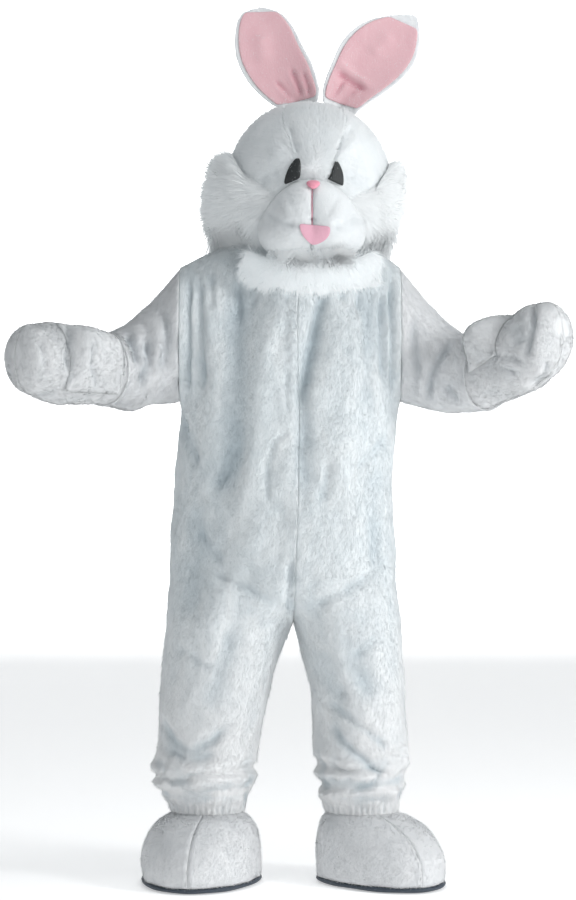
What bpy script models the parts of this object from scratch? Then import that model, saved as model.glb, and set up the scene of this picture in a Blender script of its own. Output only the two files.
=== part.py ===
"""Rabbit mascot costume: a plush suit with sleeves, mitts and feet, and a head with two ears.

Metres, +Z up. The viewer looks along +Y with +X to the right, so the wearer's right is at -X.
The origin lies between the wearer's shoulders, where the suit hangs. In every function side
is -1 for the wearer's right and +1 for the left, and face is -1 for front and +1 for back.
Every piece of cloth is one closed wall between an outer and an inner grid of points.
"""
import math

import bmesh
import bpy
import numpy as np
from mathutils import Vector
from mathutils.bvhtree import BVHTree

# Seams and walls
SEAM_GAP = 0.0003
HALF_GAP = SEAM_GAP / 2
LAID_LIFT = 0.0009
RUFF_LIFT = 0.0020
MUZZLE_LIFT = 0.0008
SLOPE_STEP = 1e-4
SUIT_WALL = 0.003
SLEEVE_WALL = 0.003
MITT_WALL = 0.003
FOOT_WALL = 0.006
HEAD_WALL = 0.009

# Suit: heights are drops below the origin
ARMPIT_DROP = 0.346
CROTCH_DROP = 0.859
HEM_DROP = 1.300
FORK_START_DROP = 0.740
ARMHOLE_X = 0.257
ARMHOLE_HALF_HEIGHT = 0.158
ARMHOLE_HALF_DEPTH = 0.105
ARMHOLE_Z = ARMHOLE_HALF_HEIGHT - ARMPIT_DROP
NECK_RADIUS = 0.090
NECK_FRONT_Z = 0.012
NECK_SIDE_Z = 0.048
NECK_SHARE = 0.4
SUIT_SPANS = 9

SEAM_COLUMNS = ("drop", "x")
SEAM_LINE = (
    (-0.012, 0.032),
    (0.060, 0.018),
    (0.37, 0.021),
    (0.53, 0.019),
    (0.859, 0.0085),
    (1.30, 0.0085),
)

DEPTH_COLUMNS = ("drop", "front", "back")
DEPTHS = (
    (0.346, 0.172, 0.160),
    (0.560, 0.160, 0.150),
    (0.704, 0.172, 0.165),
    (0.789, 0.168, 0.172),
    (0.859, 0.150, 0.152),
    (0.957, 0.136, 0.138),
    (1.069, 0.128, 0.130),
    (1.154, 0.123, 0.125),
    (1.238, 0.120, 0.120),
    (1.280, 0.092, 0.092),
    (1.300, 0.086, 0.086),
)

# Distances from x = 0 to the side seam and, below the crotch, to the inside leg
SIDE_COLUMNS = ("drop", "outer", "inner")
SIDES = {
    -1: (
        (0.346, 0.257, -0.0085),
        (0.452, 0.265, -0.0085),
        (0.564, 0.269, -0.0085),
        (0.704, 0.281, -0.0085),
        (0.789, 0.285, -0.0085),
        (0.859, 0.291, -0.0085),
        (0.957, 0.297, 0.033),
        (1.069, 0.306, 0.056),
        (1.154, 0.311, 0.077),
        (1.238, 0.310, 0.087),
        (1.280, 0.286, 0.101),
        (1.300, 0.278, 0.106),
    ),
    1: (
        (0.346, 0.257, 0.0085),
        (0.452, 0.244, 0.0085),
        (0.564, 0.239, 0.0085),
        (0.704, 0.247, 0.0085),
        (0.789, 0.250, 0.0085),
        (0.859, 0.258, 0.0085),
        (0.957, 0.264, 0.035),
        (1.069, 0.272, 0.054),
        (1.154, 0.273, 0.059),
        (1.238, 0.264, 0.066),
        (1.280, 0.256, 0.077),
        (1.300, 0.254, 0.082),
    ),
}

# Large folds of the suit, as straight valleys on its front and back
FOLD_COLUMNS = ("x_start", "z_start", "x_end", "z_end", "width", "depth")
FOLDS = {
    -1: (
        (0.080, -0.080, 0.024, -0.350, 0.026, 0.013),
        (-0.183, -0.040, -0.176, -0.130, 0.020, 0.008),
        (-0.122, -0.070, -0.117, -0.160, 0.020, 0.007),
        (-0.208, -0.060, -0.204, -0.320, 0.019, 0.010),
        (0.212, -0.080, 0.216, -0.310, 0.019, 0.010),
        (0.165, -0.055, 0.158, -0.130, 0.020, 0.008),
        (-0.250, -0.390, -0.213, -0.496, 0.028, 0.010),
        (-0.133, -0.442, -0.175, -0.543, 0.026, 0.009),
        (0.010, -0.405, -0.048, -0.470, 0.018, 0.007),
        (-0.051, -0.480, -0.050, -0.566, 0.018, 0.007),
        (0.230, -0.420, 0.150, -0.500, 0.026, 0.007),
        (-0.060, -0.800, -0.180, -0.740, 0.024, 0.008),
        (0.080, -0.800, 0.180, -0.750, 0.024, 0.008),
        (-0.290, -1.070, -0.234, -1.140, 0.020, 0.009),
        (-0.234, -1.140, -0.150, -1.090, 0.020, 0.009),
        (0.085, -1.030, 0.225, -1.120, 0.022, 0.010),
        (0.100, -1.095, 0.200, -1.170, 0.020, 0.010),
    ),
    1: (
        (-0.060, -0.090, -0.030, -0.340, 0.026, 0.010),
        (0.110, -0.100, 0.080, -0.330, 0.026, 0.009),
        (-0.206, -0.070, -0.200, -0.310, 0.019, 0.010),
        (0.206, -0.080, 0.210, -0.315, 0.019, 0.010),
        (-0.190, -0.480, -0.050, -0.545, 0.028, 0.010),
        (0.200, -0.500, 0.070, -0.560, 0.028, 0.010),
        (-0.050, -0.805, -0.190, -0.735, 0.026, 0.011),
        (0.065, -0.805, 0.190, -0.740, 0.026, 0.011),
        (-0.270, -0.980, -0.120, -1.030, 0.024, 0.010),
        (0.080, -0.990, 0.225, -1.050, 0.024, 0.010),
        (-0.280, -1.090, -0.150, -1.150, 0.022, 0.010),
        (0.100, -1.100, 0.220, -1.160, 0.022, 0.010),
    ),
}

# Rolls that sit all round each ankle above the gathered hem
ROLL_COLUMNS = ("drop", "half_height", "rise", "slope")
ROLLS = {
    -1: (
        (1.186, 0.014, 0.008, 0.10),
        (1.206, 0.008, -0.009, 0.10),
        (1.226, 0.012, 0.011, 0.05),
        (1.245, 0.007, -0.008, 0.00),
        (1.261, 0.010, 0.009, -0.04),
    ),
    1: (
        (1.176, 0.013, 0.009, -0.12),
        (1.197, 0.008, -0.010, -0.10),
        (1.218, 0.011, 0.008, -0.06),
        (1.237, 0.007, -0.008, 0.03),
        (1.256, 0.011, 0.010, 0.06),
    ),
}

# Arms: rings from the armhole to the mitt's last full ring. out is the distance from x = 0,
# turn is the forward turn in degrees, tall and wide are half sizes
ARM_COLUMNS = ("step", "out", "y", "z", "turn", "tall", "wide")
CUFF_STEP = 4
LAST_STEP = 7
ARMS = {
    -1: (
        (0, 0.257, 0.000, -0.188, 0, 0.158, 0.105),
        (1, 0.315, -0.010, -0.226, 14, 0.128, 0.103),
        (2, 0.372, -0.038, -0.260, 30, 0.107, 0.098),
        (3, 0.413, -0.070, -0.270, 42, 0.088, 0.088),
        (4, 0.428, -0.085, -0.271, 45, 0.086, 0.086),
        (5, 0.468, -0.125, -0.267, 47, 0.083, 0.079),
        (6, 0.532, -0.188, -0.259, 48, 0.093, 0.085),
        (7, 0.586, -0.240, -0.252, 48, 0.082, 0.070),
    ),
    1: (
        (0, 0.257, 0.000, -0.188, 0, 0.158, 0.105),
        (1, 0.320, -0.010, -0.236, 14, 0.131, 0.103),
        (2, 0.384, -0.040, -0.275, 30, 0.100, 0.096),
        (3, 0.438, -0.078, -0.286, 42, 0.084, 0.086),
        (4, 0.454, -0.094, -0.284, 44, 0.083, 0.084),
        (5, 0.491, -0.133, -0.264, 46, 0.081, 0.078),
        (6, 0.541, -0.190, -0.229, 47, 0.098, 0.085),
        (7, 0.580, -0.233, -0.208, 47, 0.086, 0.072),
    ),
}
MITT_END = 0.052
MITT_END_CLIMB = {-1: 0.004, 1: 0.012}
TUCK_STEPS = 0.5
TUCK_CLEARANCE = 0.0010
ARM_SPANS = 16

# Folds across a sleeve: round is the angle from its front, up is 90 degrees
SLEEVE_FOLD_COLUMNS = ("step", "round", "spread", "half_step", "depth", "lean")
SLEEVE_FOLDS = {
    -1: (
        (0.90, 20, 70, 0.22, 0.010, 0.30),
        (1.70, 0, 80, 0.24, 0.012, 0.25),
        (2.55, 10, 80, 0.22, 0.009, 0.20),
        (1.30, 190, 80, 0.26, 0.010, -0.20),
        (2.20, 170, 70, 0.24, 0.009, 0.20),
    ),
    1: (
        (0.80, 10, 80, 0.22, 0.010, 0.30),
        (1.75, 20, 80, 0.25, 0.013, -0.30),
        (2.60, -10, 80, 0.22, 0.009, -0.20),
        (1.25, 190, 80, 0.26, 0.010, 0.20),
        (2.25, 180, 70, 0.24, 0.009, -0.20),
    ),
}

# Thumbs: a dome over part of the palm's own grid, on the wearer's left higher and shorter
THUMB_ROWS = {-1: (2, 8), 1: (2, 6)}
THUMB_COLUMNS = {-1: (2, 7), 1: (4, 8)}
THUMB_LIFT = 0.0006
THUMB_REACH = {-1: (0.018, -0.030, 0.030), 1: (-0.046, -0.030, 0.034)}
THUMB_EDGE = 0.003

# Head: a dome open below, turned to the viewer's right and leaning a little
HEAD_CENTRE = np.array((0.0445, 0.0, 0.180))
HEAD_AXES = np.array((0.190, 0.190, 0.1755))
HEAD_YAW = math.radians(3)
HEAD_ROLL = math.radians(2)
HEAD_RIM_ANGLE = -52.2
HEAD_ROWS = (90, 78, 64, 50, 36, 22, 8, -7, -22, -36, HEAD_RIM_ANGLE)
CUT_COLUMNS = ("height_angle", "gore", "back")
HEAD_CUTS = (
    (-50, 12.5, 105),
    (5, 12.5, 105),
    (25, 20, 104),
    (44, 33, 101),
    (68, 56, 96),
    (90, 90, 90),
)

MUZZLE_CENTRE = (0.0500, 0.0657)
MUZZLE_BACK_Y = -0.127
MUZZLE_FRONT_Y = -0.232
MUZZLE_EDGE = 0.003
MUZZLE_COLUMNS = ("from_top", "reach")
MUZZLE_OUTLINE = (
    (0, 0.0947),
    (42, 0.0980),
    (60, 0.1015),
    (75, 0.1108),
    (92, 0.1254),
    (116, 0.1293),
    (134, 0.1137),
    (150, 0.0981),
    (180, 0.0835),
)

# Flat-laid face pieces: each row gives the two ends of a line across the piece, as x and z
PATCH_COLUMNS = ("x_first", "z_first", "x_second", "z_second")
EYE_RIGHT = (
    (0.0135, 0.2085, 0.0218, 0.2082),
    (0.0033, 0.1983, 0.0244, 0.1973),
    (-0.0045, 0.1861, 0.0249, 0.1851),
    (-0.0103, 0.1700, 0.0242, 0.1715),
    (-0.0144, 0.1564, 0.0230, 0.1666),
    (-0.0128, 0.1476, 0.0218, 0.1617),
)
EYE_LEFT = (
    (0.1026, 0.2026, 0.1099, 0.2012),
    (0.0982, 0.1909, 0.1172, 0.1885),
    (0.0953, 0.1788, 0.1221, 0.1739),
    (0.0904, 0.1671, 0.1230, 0.1593),
    (0.0860, 0.1632, 0.1225, 0.1515),
    (0.0856, 0.1603, 0.1211, 0.1452),
)
MOUTH = (
    (0.0202, 0.0559, 0.0904, 0.0491),
    (0.0212, 0.0428, 0.0919, 0.0385),
    (0.0279, 0.0283, 0.0875, 0.0254),
    (0.0396, 0.0157, 0.0749, 0.0147),
    (0.0493, 0.0089, 0.0589, 0.0089),
)
NOSE = (
    (0.0458, 0.1572, 0.0603, 0.1569),
    (0.0371, 0.1533, 0.0681, 0.1529),
    (0.0364, 0.1471, 0.0686, 0.1466),
    (0.0424, 0.1403, 0.0628, 0.1400),
    (0.0507, 0.1354, 0.0550, 0.1354),
)
EYE_THICKNESS = 0.004
EYE_CROWN = 0.002
MOUTH_THICKNESS = 0.003
NOSE_EDGE = 0.004
NOSE_CROWN = 0.010

# Cheek ruffs: rows from the top to the bottom. front is the angle where the fur starts
# on the face, and tip_x, tip_z is where its tips end
RUFF_COLUMNS = ("height_angle", "front", "tip_x", "tip_z")
RUFF_BACK_ANGLE = 122
RUFF_MIDDLE_ANGLE = 92
RUFF_PEAK_SHARE = 0.62
RUFF_TIP_Y = 0.012
RUFF_EDGE = 0.006
RUFF_TUFTS = 5
RUFF_ROWS = 11
RUFF_TUFT_SHARE = 0.10
RUFFS = {
    -1: (
        (16, 80, -0.162, 0.228),
        (8, 66, -0.179, 0.192),
        (-2, 54, -0.189, 0.150),
        (-12, 50, -0.194, 0.110),
        (-24, 56, -0.190, 0.080),
        (-36, 68, -0.179, 0.050),
        (-47, 82, -0.164, 0.026),
    ),
    1: (
        (14, 80, 0.244, 0.216),
        (6, 66, 0.253, 0.187),
        (-3, 54, 0.257, 0.151),
        (-12, 50, 0.255, 0.118),
        (-24, 56, 0.247, 0.085),
        (-36, 68, 0.231, 0.052),
        (-47, 82, 0.208, 0.026),
    ),
}

# Chin ruff: a band from under the muzzle down to the chest
CHIN_REACH = (-0.098, 0.198)
CHIN_TOP_Z = -0.0210
CHIN_TOP_Y = -0.150
CHIN_END_Y = -0.092
CHIN_FOOT_Z = -0.071
CHIN_THICKNESS = 0.012
CHIN_SPANS = 16
CHIN_TUFT = 0.007
CHIN_END_CLIMB = 0.030
CHIN_FOOT_CLIMB = 0.020
CHIN_SPREAD = 0.0034
CHIN_LEVEL_Z = -0.020

# Ears: each row gives the two edges of the ear, as x and z, from the base to the tip
EAR_LEAN = 0.030
EAR_CUP = 0.022
EAR_THICKNESS = 0.008
LINING_LIFT = 0.0005
LINING_THICKNESS = 0.004
EAR_PLEAT = 0.004
EAR_LINES = (-1, -0.90, -0.62, -0.31, 0, 0.31, 0.62, 0.90, 1)
EAR_COLUMNS = ("x_first", "z_first", "x_second", "z_second")
EARS = {
    -1: (
        (-0.019, 0.336, 0.063, 0.352),
        (-0.049, 0.358, 0.068, 0.388),
        (-0.080, 0.384, 0.0585, 0.4235),
        (-0.105, 0.4165, 0.049, 0.456),
        (-0.126, 0.4585, 0.030, 0.487),
        (-0.130, 0.503, 0.0187, 0.517),
        (-0.126, 0.543, -0.002, 0.552),
        (-0.112, 0.572, -0.026, 0.574),
        (-0.066, 0.585, -0.066, 0.585),
    ),
    1: (
        (0.0796, 0.354, 0.152, 0.335),
        (0.077, 0.381, 0.1685, 0.344),
        (0.084, 0.414, 0.194, 0.363),
        (0.1006, 0.454, 0.229, 0.386),
        (0.117, 0.496, 0.264, 0.414),
        (0.143, 0.5265, 0.2925, 0.449),
        (0.178, 0.552, 0.304, 0.491),
        (0.229, 0.565, 0.305, 0.531),
        (0.297, 0.567, 0.297, 0.567),
    ),
}

# Feet: rings above the floor, in each foot's own frame round the ankle. swing is each ring's
# share of the foot's whole shift to the side from the ankle
FLOOR_Z = -1.4625
SOLE_HEIGHT = 0.0137
FOOT_YAW = {-1: math.radians(-7), 1: math.radians(25)}
FOOT_ANKLE_X = {-1: -0.192, 1: 0.168}
FOOT_SWING = {-1: -0.012, 1: 0.029}
FOOT_SPANS = 9
FOOT_COLUMNS = ("step", "height", "half_width", "front", "back", "swing")
HEM_RADIUS = 0.086
COLLAR_CLEARANCE = 0.0005
COLLAR_RADIUS = (HEM_RADIUS - SUIT_WALL) * math.cos(math.pi / 2 / SUIT_SPANS) - COLLAR_CLEARANCE
FOOT_RINGS = (
    (0, 0.1745, COLLAR_RADIUS, COLLAR_RADIUS, COLLAR_RADIUS, 0.0),
    (1, 0.1615, COLLAR_RADIUS, COLLAR_RADIUS, COLLAR_RADIUS, 0.0),
    (2, 0.1535, 0.0960, 0.1150, 0.0930, 0.14),
    (3, 0.1370, 0.1170, 0.1600, 0.1080, 0.48),
    (4, 0.1100, 0.1330, 0.2050, 0.1180, 0.85),
    (5, 0.0740, 0.1410, 0.2350, 0.1240, 1.0),
    (6, 0.0410, 0.1420, 0.2450, 0.1260, 1.0),
    (7, 0.0140, 0.1380, 0.2420, 0.1240, 1.0),
)
SOLE_RINGS = (
    (0, 0.0000, 0.1340, 0.2380, 0.1200, 1.0),
    (1, 0.0060, 0.1430, 0.2480, 0.1280, 1.0),
    (2, SOLE_HEIGHT, 0.1425, 0.2475, 0.1275, 1.0),
)

MATERIALS = {
    "plush": ((0.80, 0.84, 0.85), 0.95),
    "ear_lining": ((0.87, 0.70, 0.74), 0.90),
    "nose_satin": ((0.92, 0.58, 0.66), 0.45),
    "mouth_felt": ((0.80, 0.66, 0.72), 0.90),
    "eye_mesh": ((0.05, 0.07, 0.08), 0.55),
    "sole": ((0.12, 0.16, 0.20), 0.80),
}


def smooth(at, knots, values):
    """A soft curve through a few values, held level beyond its ends."""
    knots = np.asarray(knots, float)
    values = np.asarray(values, float)
    slopes = np.gradient(values, knots)
    place = np.clip(np.searchsorted(knots, at, side="right") - 1, 0, len(knots) - 2)
    span = knots[place + 1] - knots[place]
    part = np.clip((at - knots[place]) / span, 0, 1)
    blend = part * part * (3 - 2 * part)
    leave = slopes[place] * span * part * (1 - part) ** 2
    arrive = slopes[place + 1] * span * part ** 2 * (1 - part)
    return values[place] * (1 - blend) + values[place + 1] * blend + leave - arrive


def read(table, columns, name, at):
    """One named column of a table, as a soft curve over the table's first column."""
    rows = np.array(table, float)
    return smooth(at, rows[:, 0], rows[:, columns.index(name)])


def soft_step(value):
    """0 up to 0, 1 from 1 on, and a soft climb between."""
    part = np.clip(value, 0, 1)
    return part * part * (3 - 2 * part)


def points_of(x, y, z):
    """Points from three arrays, or numbers, that fit one another."""
    return np.stack(np.broadcast_arrays(x, y, z), axis=-1)


def unit(vectors):
    return vectors / np.maximum(np.linalg.norm(vectors, axis=-1, keepdims=True), 1e-12)


def grid_of(surface, columns, rows, facing=None):
    """A surface's points and outward normals, rows by columns."""
    v, u = np.meshgrid(np.asarray(rows, float), np.asarray(columns, float), indexing="ij")
    points = surface(u, v)
    along = surface(u + SLOPE_STEP, v) - surface(u - SLOPE_STEP, v)
    down = surface(u, v + SLOPE_STEP) - surface(u, v - SLOPE_STEP)
    normals = unit(np.cross(along, down))
    outward = points - points.mean(axis=1, keepdims=True) if facing is None else np.array(facing)
    if (normals * outward).sum() < 0:
        normals = -normals
    return points, normals


def material_named(name):
    found = bpy.data.materials.get(name)
    if found:
        return found
    colour, roughness = MATERIALS[name]
    made = bpy.data.materials.new(name)
    made.use_nodes = True
    shader = made.node_tree.nodes["Principled BSDF"]
    shader.inputs["Base Color"].default_value = (*colour, 1)
    shader.inputs["Roughness"].default_value = roughness
    shader.inputs["Metallic"].default_value = 0
    return made


def finish_mesh(name, shape, material):
    """Makes the named object from a bmesh, with its faces pointing out."""
    bmesh.ops.recalc_face_normals(shape, faces=shape.faces)
    mesh = bpy.data.meshes.new(name)
    shape.to_mesh(mesh)
    shape.free()
    mesh.materials.append(material_named(material))
    mesh.shade_smooth()
    made = bpy.data.objects.new(name, mesh)
    COSTUME.objects.link(made)
    return made


def wall(name, outer, inner, material, ring=False, first_point=False, last_point=False):
    """One closed body between two grids. ring joins the last column to the first, and a
    first or last row that is a point has no rim there."""
    shape = bmesh.new()
    rows, columns = outer.shape[:2]
    skins = []
    for grid in (outer, inner):
        skin = []
        for row in range(rows):
            if (row == 0 and first_point) or (row == rows - 1 and last_point):
                skin.append([shape.verts.new(grid[row][0])] * columns)
            else:
                skin.append([shape.verts.new(point) for point in grid[row]])
        skins.append(skin)
    out, back = skins

    def face(*corners):
        different = list(dict.fromkeys(corners))
        if len(different) > 2:
            shape.faces.new(different)

    spans = columns if ring else columns - 1
    for row in range(rows - 1):
        for column in range(spans):
            after = (column + 1) % columns
            face(out[row][column], out[row][after], out[row + 1][after], out[row + 1][column])
            face(back[row][column], back[row + 1][column], back[row + 1][after], back[row][after])
        if not ring:
            face(out[row][0], out[row + 1][0], back[row + 1][0], back[row][0])
            face(out[row][-1], back[row][-1], back[row + 1][-1], out[row + 1][-1])
    for row, is_point in ((0, first_point), (rows - 1, last_point)):
        if is_point:
            continue
        for column in range(spans):
            after = (column + 1) % columns
            face(out[row][column], back[row][column], back[row][after], out[row][after])
    return finish_mesh(name, shape, material)


def fold_relief(folds, x, z):
    """How far the large folds press the cloth in at each x and z."""
    pressed = np.zeros(np.broadcast(x, z).shape)
    for x_start, z_start, x_end, z_end, width, depth in folds:
        run = np.array((x_end - x_start, z_end - z_start))
        along = ((x - x_start) * run[0] + (z - z_start) * run[1]) / (run @ run)
        along = np.clip(along, 0, 1)
        away = np.hypot(x - x_start - along * run[0], z - z_start - along * run[1])
        pressed = pressed + depth * np.exp(-((away / width) ** 2))
    return pressed


def trunk_and_leg(side, face, u, drop):
    """The suit below the armpit: one oval round the trunk, which parts into two at the fork."""
    seam = read(SEAM_LINE, SEAM_COLUMNS, "x", drop)
    outer = read(SIDES[side], SIDE_COLUMNS, "outer", drop)
    inner = read(SIDES[side], SIDE_COLUMNS, "inner", drop)
    depth = read(DEPTHS, DEPTH_COLUMNS, "front" if face < 0 else "back", drop)
    fork = np.clip((drop - FORK_START_DROP) / (CROTCH_DROP - FORK_START_DROP), 0, 1)
    half = outer - side * seam
    in_leg = drop > CROTCH_DROP
    wide = np.where(in_leg, (outer - inner) / 2, half / (1 + fork))
    middle = np.where(in_leg, side * (outer + inner) / 2, seam + side * (half - half / (1 + fork)))
    start = -np.arcsin(fork)
    angle = start + (math.pi / 2 - start) * u
    x = middle + side * wide * np.sin(angle)
    facing = np.abs(np.cos(angle))
    keep = soft_step(facing / 0.35) * (1 - fork * (1 - soft_step(u / 0.25)))
    relief = -keep * fold_relief(FOLDS[face], x, -drop)
    leaning = drop + 0 * x
    for roll_drop, half_height, rise, slope in ROLLS[side]:
        away = (leaning - roll_drop + slope * (x - middle)) / half_height
        relief = relief + rise * np.exp(-(away**2))
    x = x + side * relief * np.sin(angle)
    y = face * (depth + relief) * np.cos(angle)
    return points_of(x, y, -drop + 0 * x)


def chest_and_shoulder(side, face, u, rise):
    """The suit above the armpit: rise is 0 at the armpit and 1 at the neck and shoulder seam."""
    seam = read(SEAM_LINE, SEAM_COLUMNS, "x", ARMPIT_DROP * (1 - rise))
    depth = read(DEPTHS, DEPTH_COLUMNS, "front" if face < 0 else "back", ARMPIT_DROP)
    arm_y = ARMHOLE_HALF_DEPTH * np.sin(math.pi * rise)
    arm_z = ARMHOLE_Z - ARMHOLE_HALF_HEIGHT * np.cos(math.pi * rise)
    end = np.arccos(arm_y / depth)
    angle = u * end
    middle_z = -ARMPIT_DROP + rise * (ARMPIT_DROP + NECK_FRONT_Z)
    x = seam + side * (ARMHOLE_X - side * seam) * np.sin(angle) / np.sin(end)
    z = middle_z + (arm_z - middle_z) * soft_step(u)
    edge = soft_step((1 - u) / 0.12) * (1 - rise**2)
    y = face * (depth - edge * fold_relief(FOLDS[face], x, z)) * np.cos(angle)
    turn = np.clip(u / NECK_SHARE, 0, 1) * math.pi / 2
    out = np.clip((u - NECK_SHARE) / (1 - NECK_SHARE), 0, 1)
    seam_top = read(SEAM_LINE, SEAM_COLUMNS, "x", -NECK_FRONT_Z)
    neck_x = seam_top + side * NECK_RADIUS
    shoulder_top = ARMHOLE_Z + ARMHOLE_HALF_HEIGHT
    top_x = seam_top + side * NECK_RADIUS * np.sin(turn) + out * (side * ARMHOLE_X - neck_x)
    top_y = face * NECK_RADIUS * np.cos(turn)
    top_z = NECK_FRONT_Z + (NECK_SIDE_Z - NECK_FRONT_Z) * np.sin(turn) ** 2
    top_z = top_z + (shoulder_top - NECK_SIDE_Z) * out**1.4
    share = rise**2
    hold = np.clip(u, 0, 1) ** 3
    x = (1 - share) * x + share * top_x
    y = (1 - share) * y + share * (top_y + hold * face * arm_y)
    z = (1 - share) * z + share * (top_z + hold * (arm_z - shoulder_top))
    return points_of(x, y, z)


def suit_surface(side, face):
    """One quarter of the suit. u runs from the centre seam, or the inside leg, to the side
    seam. v is 0 at the neck, 1 at the armpit and grows by the drop below it."""

    def surface(u, v):
        rise = np.clip(1 - v, 0, 1)
        drop = ARMPIT_DROP + np.clip(v - 1, 0, HEM_DROP - ARMPIT_DROP)
        high = chest_and_shoulder(side, face, u, rise)
        low = trunk_and_leg(side, face, u, drop)
        return np.where((v < 1)[..., None], high, low)

    return surface


def suit_rows():
    """The rows of every suit panel, closer where the fork, rolls and gathered hem need it."""
    upper = list(np.linspace(0, 1, 9))
    drops = []
    stretches = ((0.346, 0.740, 6), (0.740, 0.859, 5), (0.859, 1.160, 5), (1.160, 1.278, 11))
    for start, stop, spans in stretches:
        drops += list(np.linspace(start, stop, spans + 1))[1:]
    drops += [1.288, HEM_DROP]
    return upper + [1 + drop - ARMPIT_DROP for drop in drops]


def make_suit():
    rows = suit_rows()
    columns = np.linspace(0, 1, SUIT_SPANS + 1)
    above = np.array(rows) < 1
    for side, hand in ((-1, "right"), (1, "left")):
        for face, way in ((-1, "front"), (1, "back")):
            points, normals = grid_of(suit_surface(side, face), columns, rows, (0, face, 0))
            top = normals[0]
            top[:, 1] = 0
            armhole = normals[above, -1]
            armhole[:, 0] = np.where(armhole[:, 0] * side < 0, 0, armhole[:, 0])
            normals[above, -1] = armhole
            normals = unit(normals)
            points = points + np.array((side * HALF_GAP, face * HALF_GAP, 0))
            wall(f"suit_{way}_{hand}", points, points - SUIT_WALL * normals, "plush")


def arm_ring(side, step, angle, shrink=0.0, relief=0.0):
    """A point of the arm's ring at a step, angle from its front with up at 90 degrees."""
    table = ARMS[side]
    level = np.minimum(step, LAST_STEP)
    past = np.clip(step - LAST_STEP, 0, 1)
    turn = np.radians(read(table, ARM_COLUMNS, "turn", level))
    tall = read(table, ARM_COLUMNS, "tall", level) - shrink + relief
    wide = read(table, ARM_COLUMNS, "wide", level) - shrink + relief
    close = np.sqrt(1 - past**2)
    out = read(table, ARM_COLUMNS, "out", level) + past * MITT_END * np.cos(turn)
    y = read(table, ARM_COLUMNS, "y", level) - past * MITT_END * np.sin(turn)
    z = read(table, ARM_COLUMNS, "z", level) + past * MITT_END_CLIMB[side]
    x = side * out - side * np.sin(turn) * wide * close * np.cos(angle)
    y = y - np.cos(turn) * wide * close * np.cos(angle)
    return points_of(x, y, z + tall * close * np.sin(angle))


def sleeve_relief(side, step, angle):
    """How far the folds press a sleeve in, fading out at the armhole and the cuff."""
    pressed = np.zeros(np.broadcast(step, angle).shape)
    for at, middle, spread, half_step, depth, lean in SLEEVE_FOLDS[side]:
        apart = np.degrees(angle) - middle
        apart = (apart + 180) % 360 - 180
        place = step - at - lean * np.sin(np.radians(apart))
        pressed = pressed + depth * np.exp(-((place / half_step) ** 2) - (apart / spread) ** 2)
    ends = soft_step(step / 0.5) * soft_step((CUFF_STEP - TUCK_STEPS - step) / 0.5)
    return -pressed * ends


def make_sleeve(side, hand):
    rows = np.array((0, 0.35, 0.7, 1.05, 1.4, 1.75, 2.1, 2.5, 3.0, CUFF_STEP - TUCK_STEPS, CUFF_STEP))
    columns = np.arange(ARM_SPANS) / ARM_SPANS * 2 * math.pi

    def surface(u, v):
        return arm_ring(side, v, u, relief=sleeve_relief(side, v, u))

    points, normals = grid_of(surface, columns, rows)
    normals[0, :, 0] = 0
    normals = unit(normals)
    points = points + np.array((side * (HALF_GAP + SEAM_GAP), 0, 0))
    wall(f"sleeve_{hand}", points, points - SLEEVE_WALL * normals, "plush", ring=True)


def mitt_rows():
    tuck = (CUFF_STEP - TUCK_STEPS, CUFF_STEP)
    hand = (4.3, 4.6, 4.95, 5.3, 5.65, 6.0, 6.35, 6.7)
    end = LAST_STEP + np.sin(np.radians((10, 36, 60, 90)))
    return np.concatenate((tuck, hand, end))


def mitt_surface(side):
    """The mitt's outer face: inside the sleeve it is a thin cuff, then it fills out."""

    def surface(u, v):
        tucked = SLEEVE_WALL + TUCK_CLEARANCE
        shrink = tucked * (1 - soft_step((v - CUFF_STEP - 0.1) / 1.0))
        return arm_ring(side, v, u, shrink=shrink)

    return surface


def make_mitt(side, hand):
    rows = mitt_rows()
    half_turn = math.pi / 2
    turn = math.radians(ARMS[side][6][ARM_COLUMNS.index("turn")])
    palm_way = np.array((-side * math.sin(turn), -math.cos(turn), 0))
    heading = np.array((side * math.cos(turn), -math.sin(turn), 0))
    grids = {}
    for part, start, way in (("palm", -half_turn, palm_way), ("back", half_turn, -palm_way)):
        columns = start + np.linspace(0, math.pi, ARM_SPANS // 2 + 1)
        points, normals = grid_of(mitt_surface(side), columns, rows, way)
        normals[-1] = heading
        points = points + HALF_GAP * way
        grids[part] = (points, normals)
        name = f"mitt_{hand}_{part}"
        wall(name, points, points - MITT_WALL * normals, "plush", last_point=True)
    make_thumb(side, hand, *grids["palm"])


def make_thumb(side, hand, points, normals):
    """A stuffed thumb sewn on the palm, from the palm's own points moved out."""
    first_row, last_row = THUMB_ROWS[side]
    first, last = THUMB_COLUMNS[side]
    base = points[first_row : last_row + 1, first : last + 1]
    lift = normals[first_row : last_row + 1, first : last + 1]
    rows, columns = base.shape[:2]
    down = np.linspace(-1, 1, rows)[:, None]
    across = np.linspace(-1, 1, columns)[None, :]
    dome = ((1 - down**2) * (1 - across**2)) ** 0.5
    under = base + THUMB_LIFT * lift
    over = under + THUMB_EDGE * lift + dome[..., None] * np.array(THUMB_REACH[side])
    wall(f"mitt_{hand}_thumb", over, under, "plush")


def head_turn():
    """The head's own axes, as the columns of a matrix."""
    yaw = np.array(
        (
            (math.cos(HEAD_YAW), -math.sin(HEAD_YAW), 0),
            (math.sin(HEAD_YAW), math.cos(HEAD_YAW), 0),
            (0, 0, 1),
        )
    )
    roll = np.array(
        (
            (math.cos(HEAD_ROLL), 0, math.sin(HEAD_ROLL)),
            (0, 1, 0),
            (-math.sin(HEAD_ROLL), 0, math.cos(HEAD_ROLL)),
        )
    )
    return yaw @ roll


HEAD_FRAME = head_turn()


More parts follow.
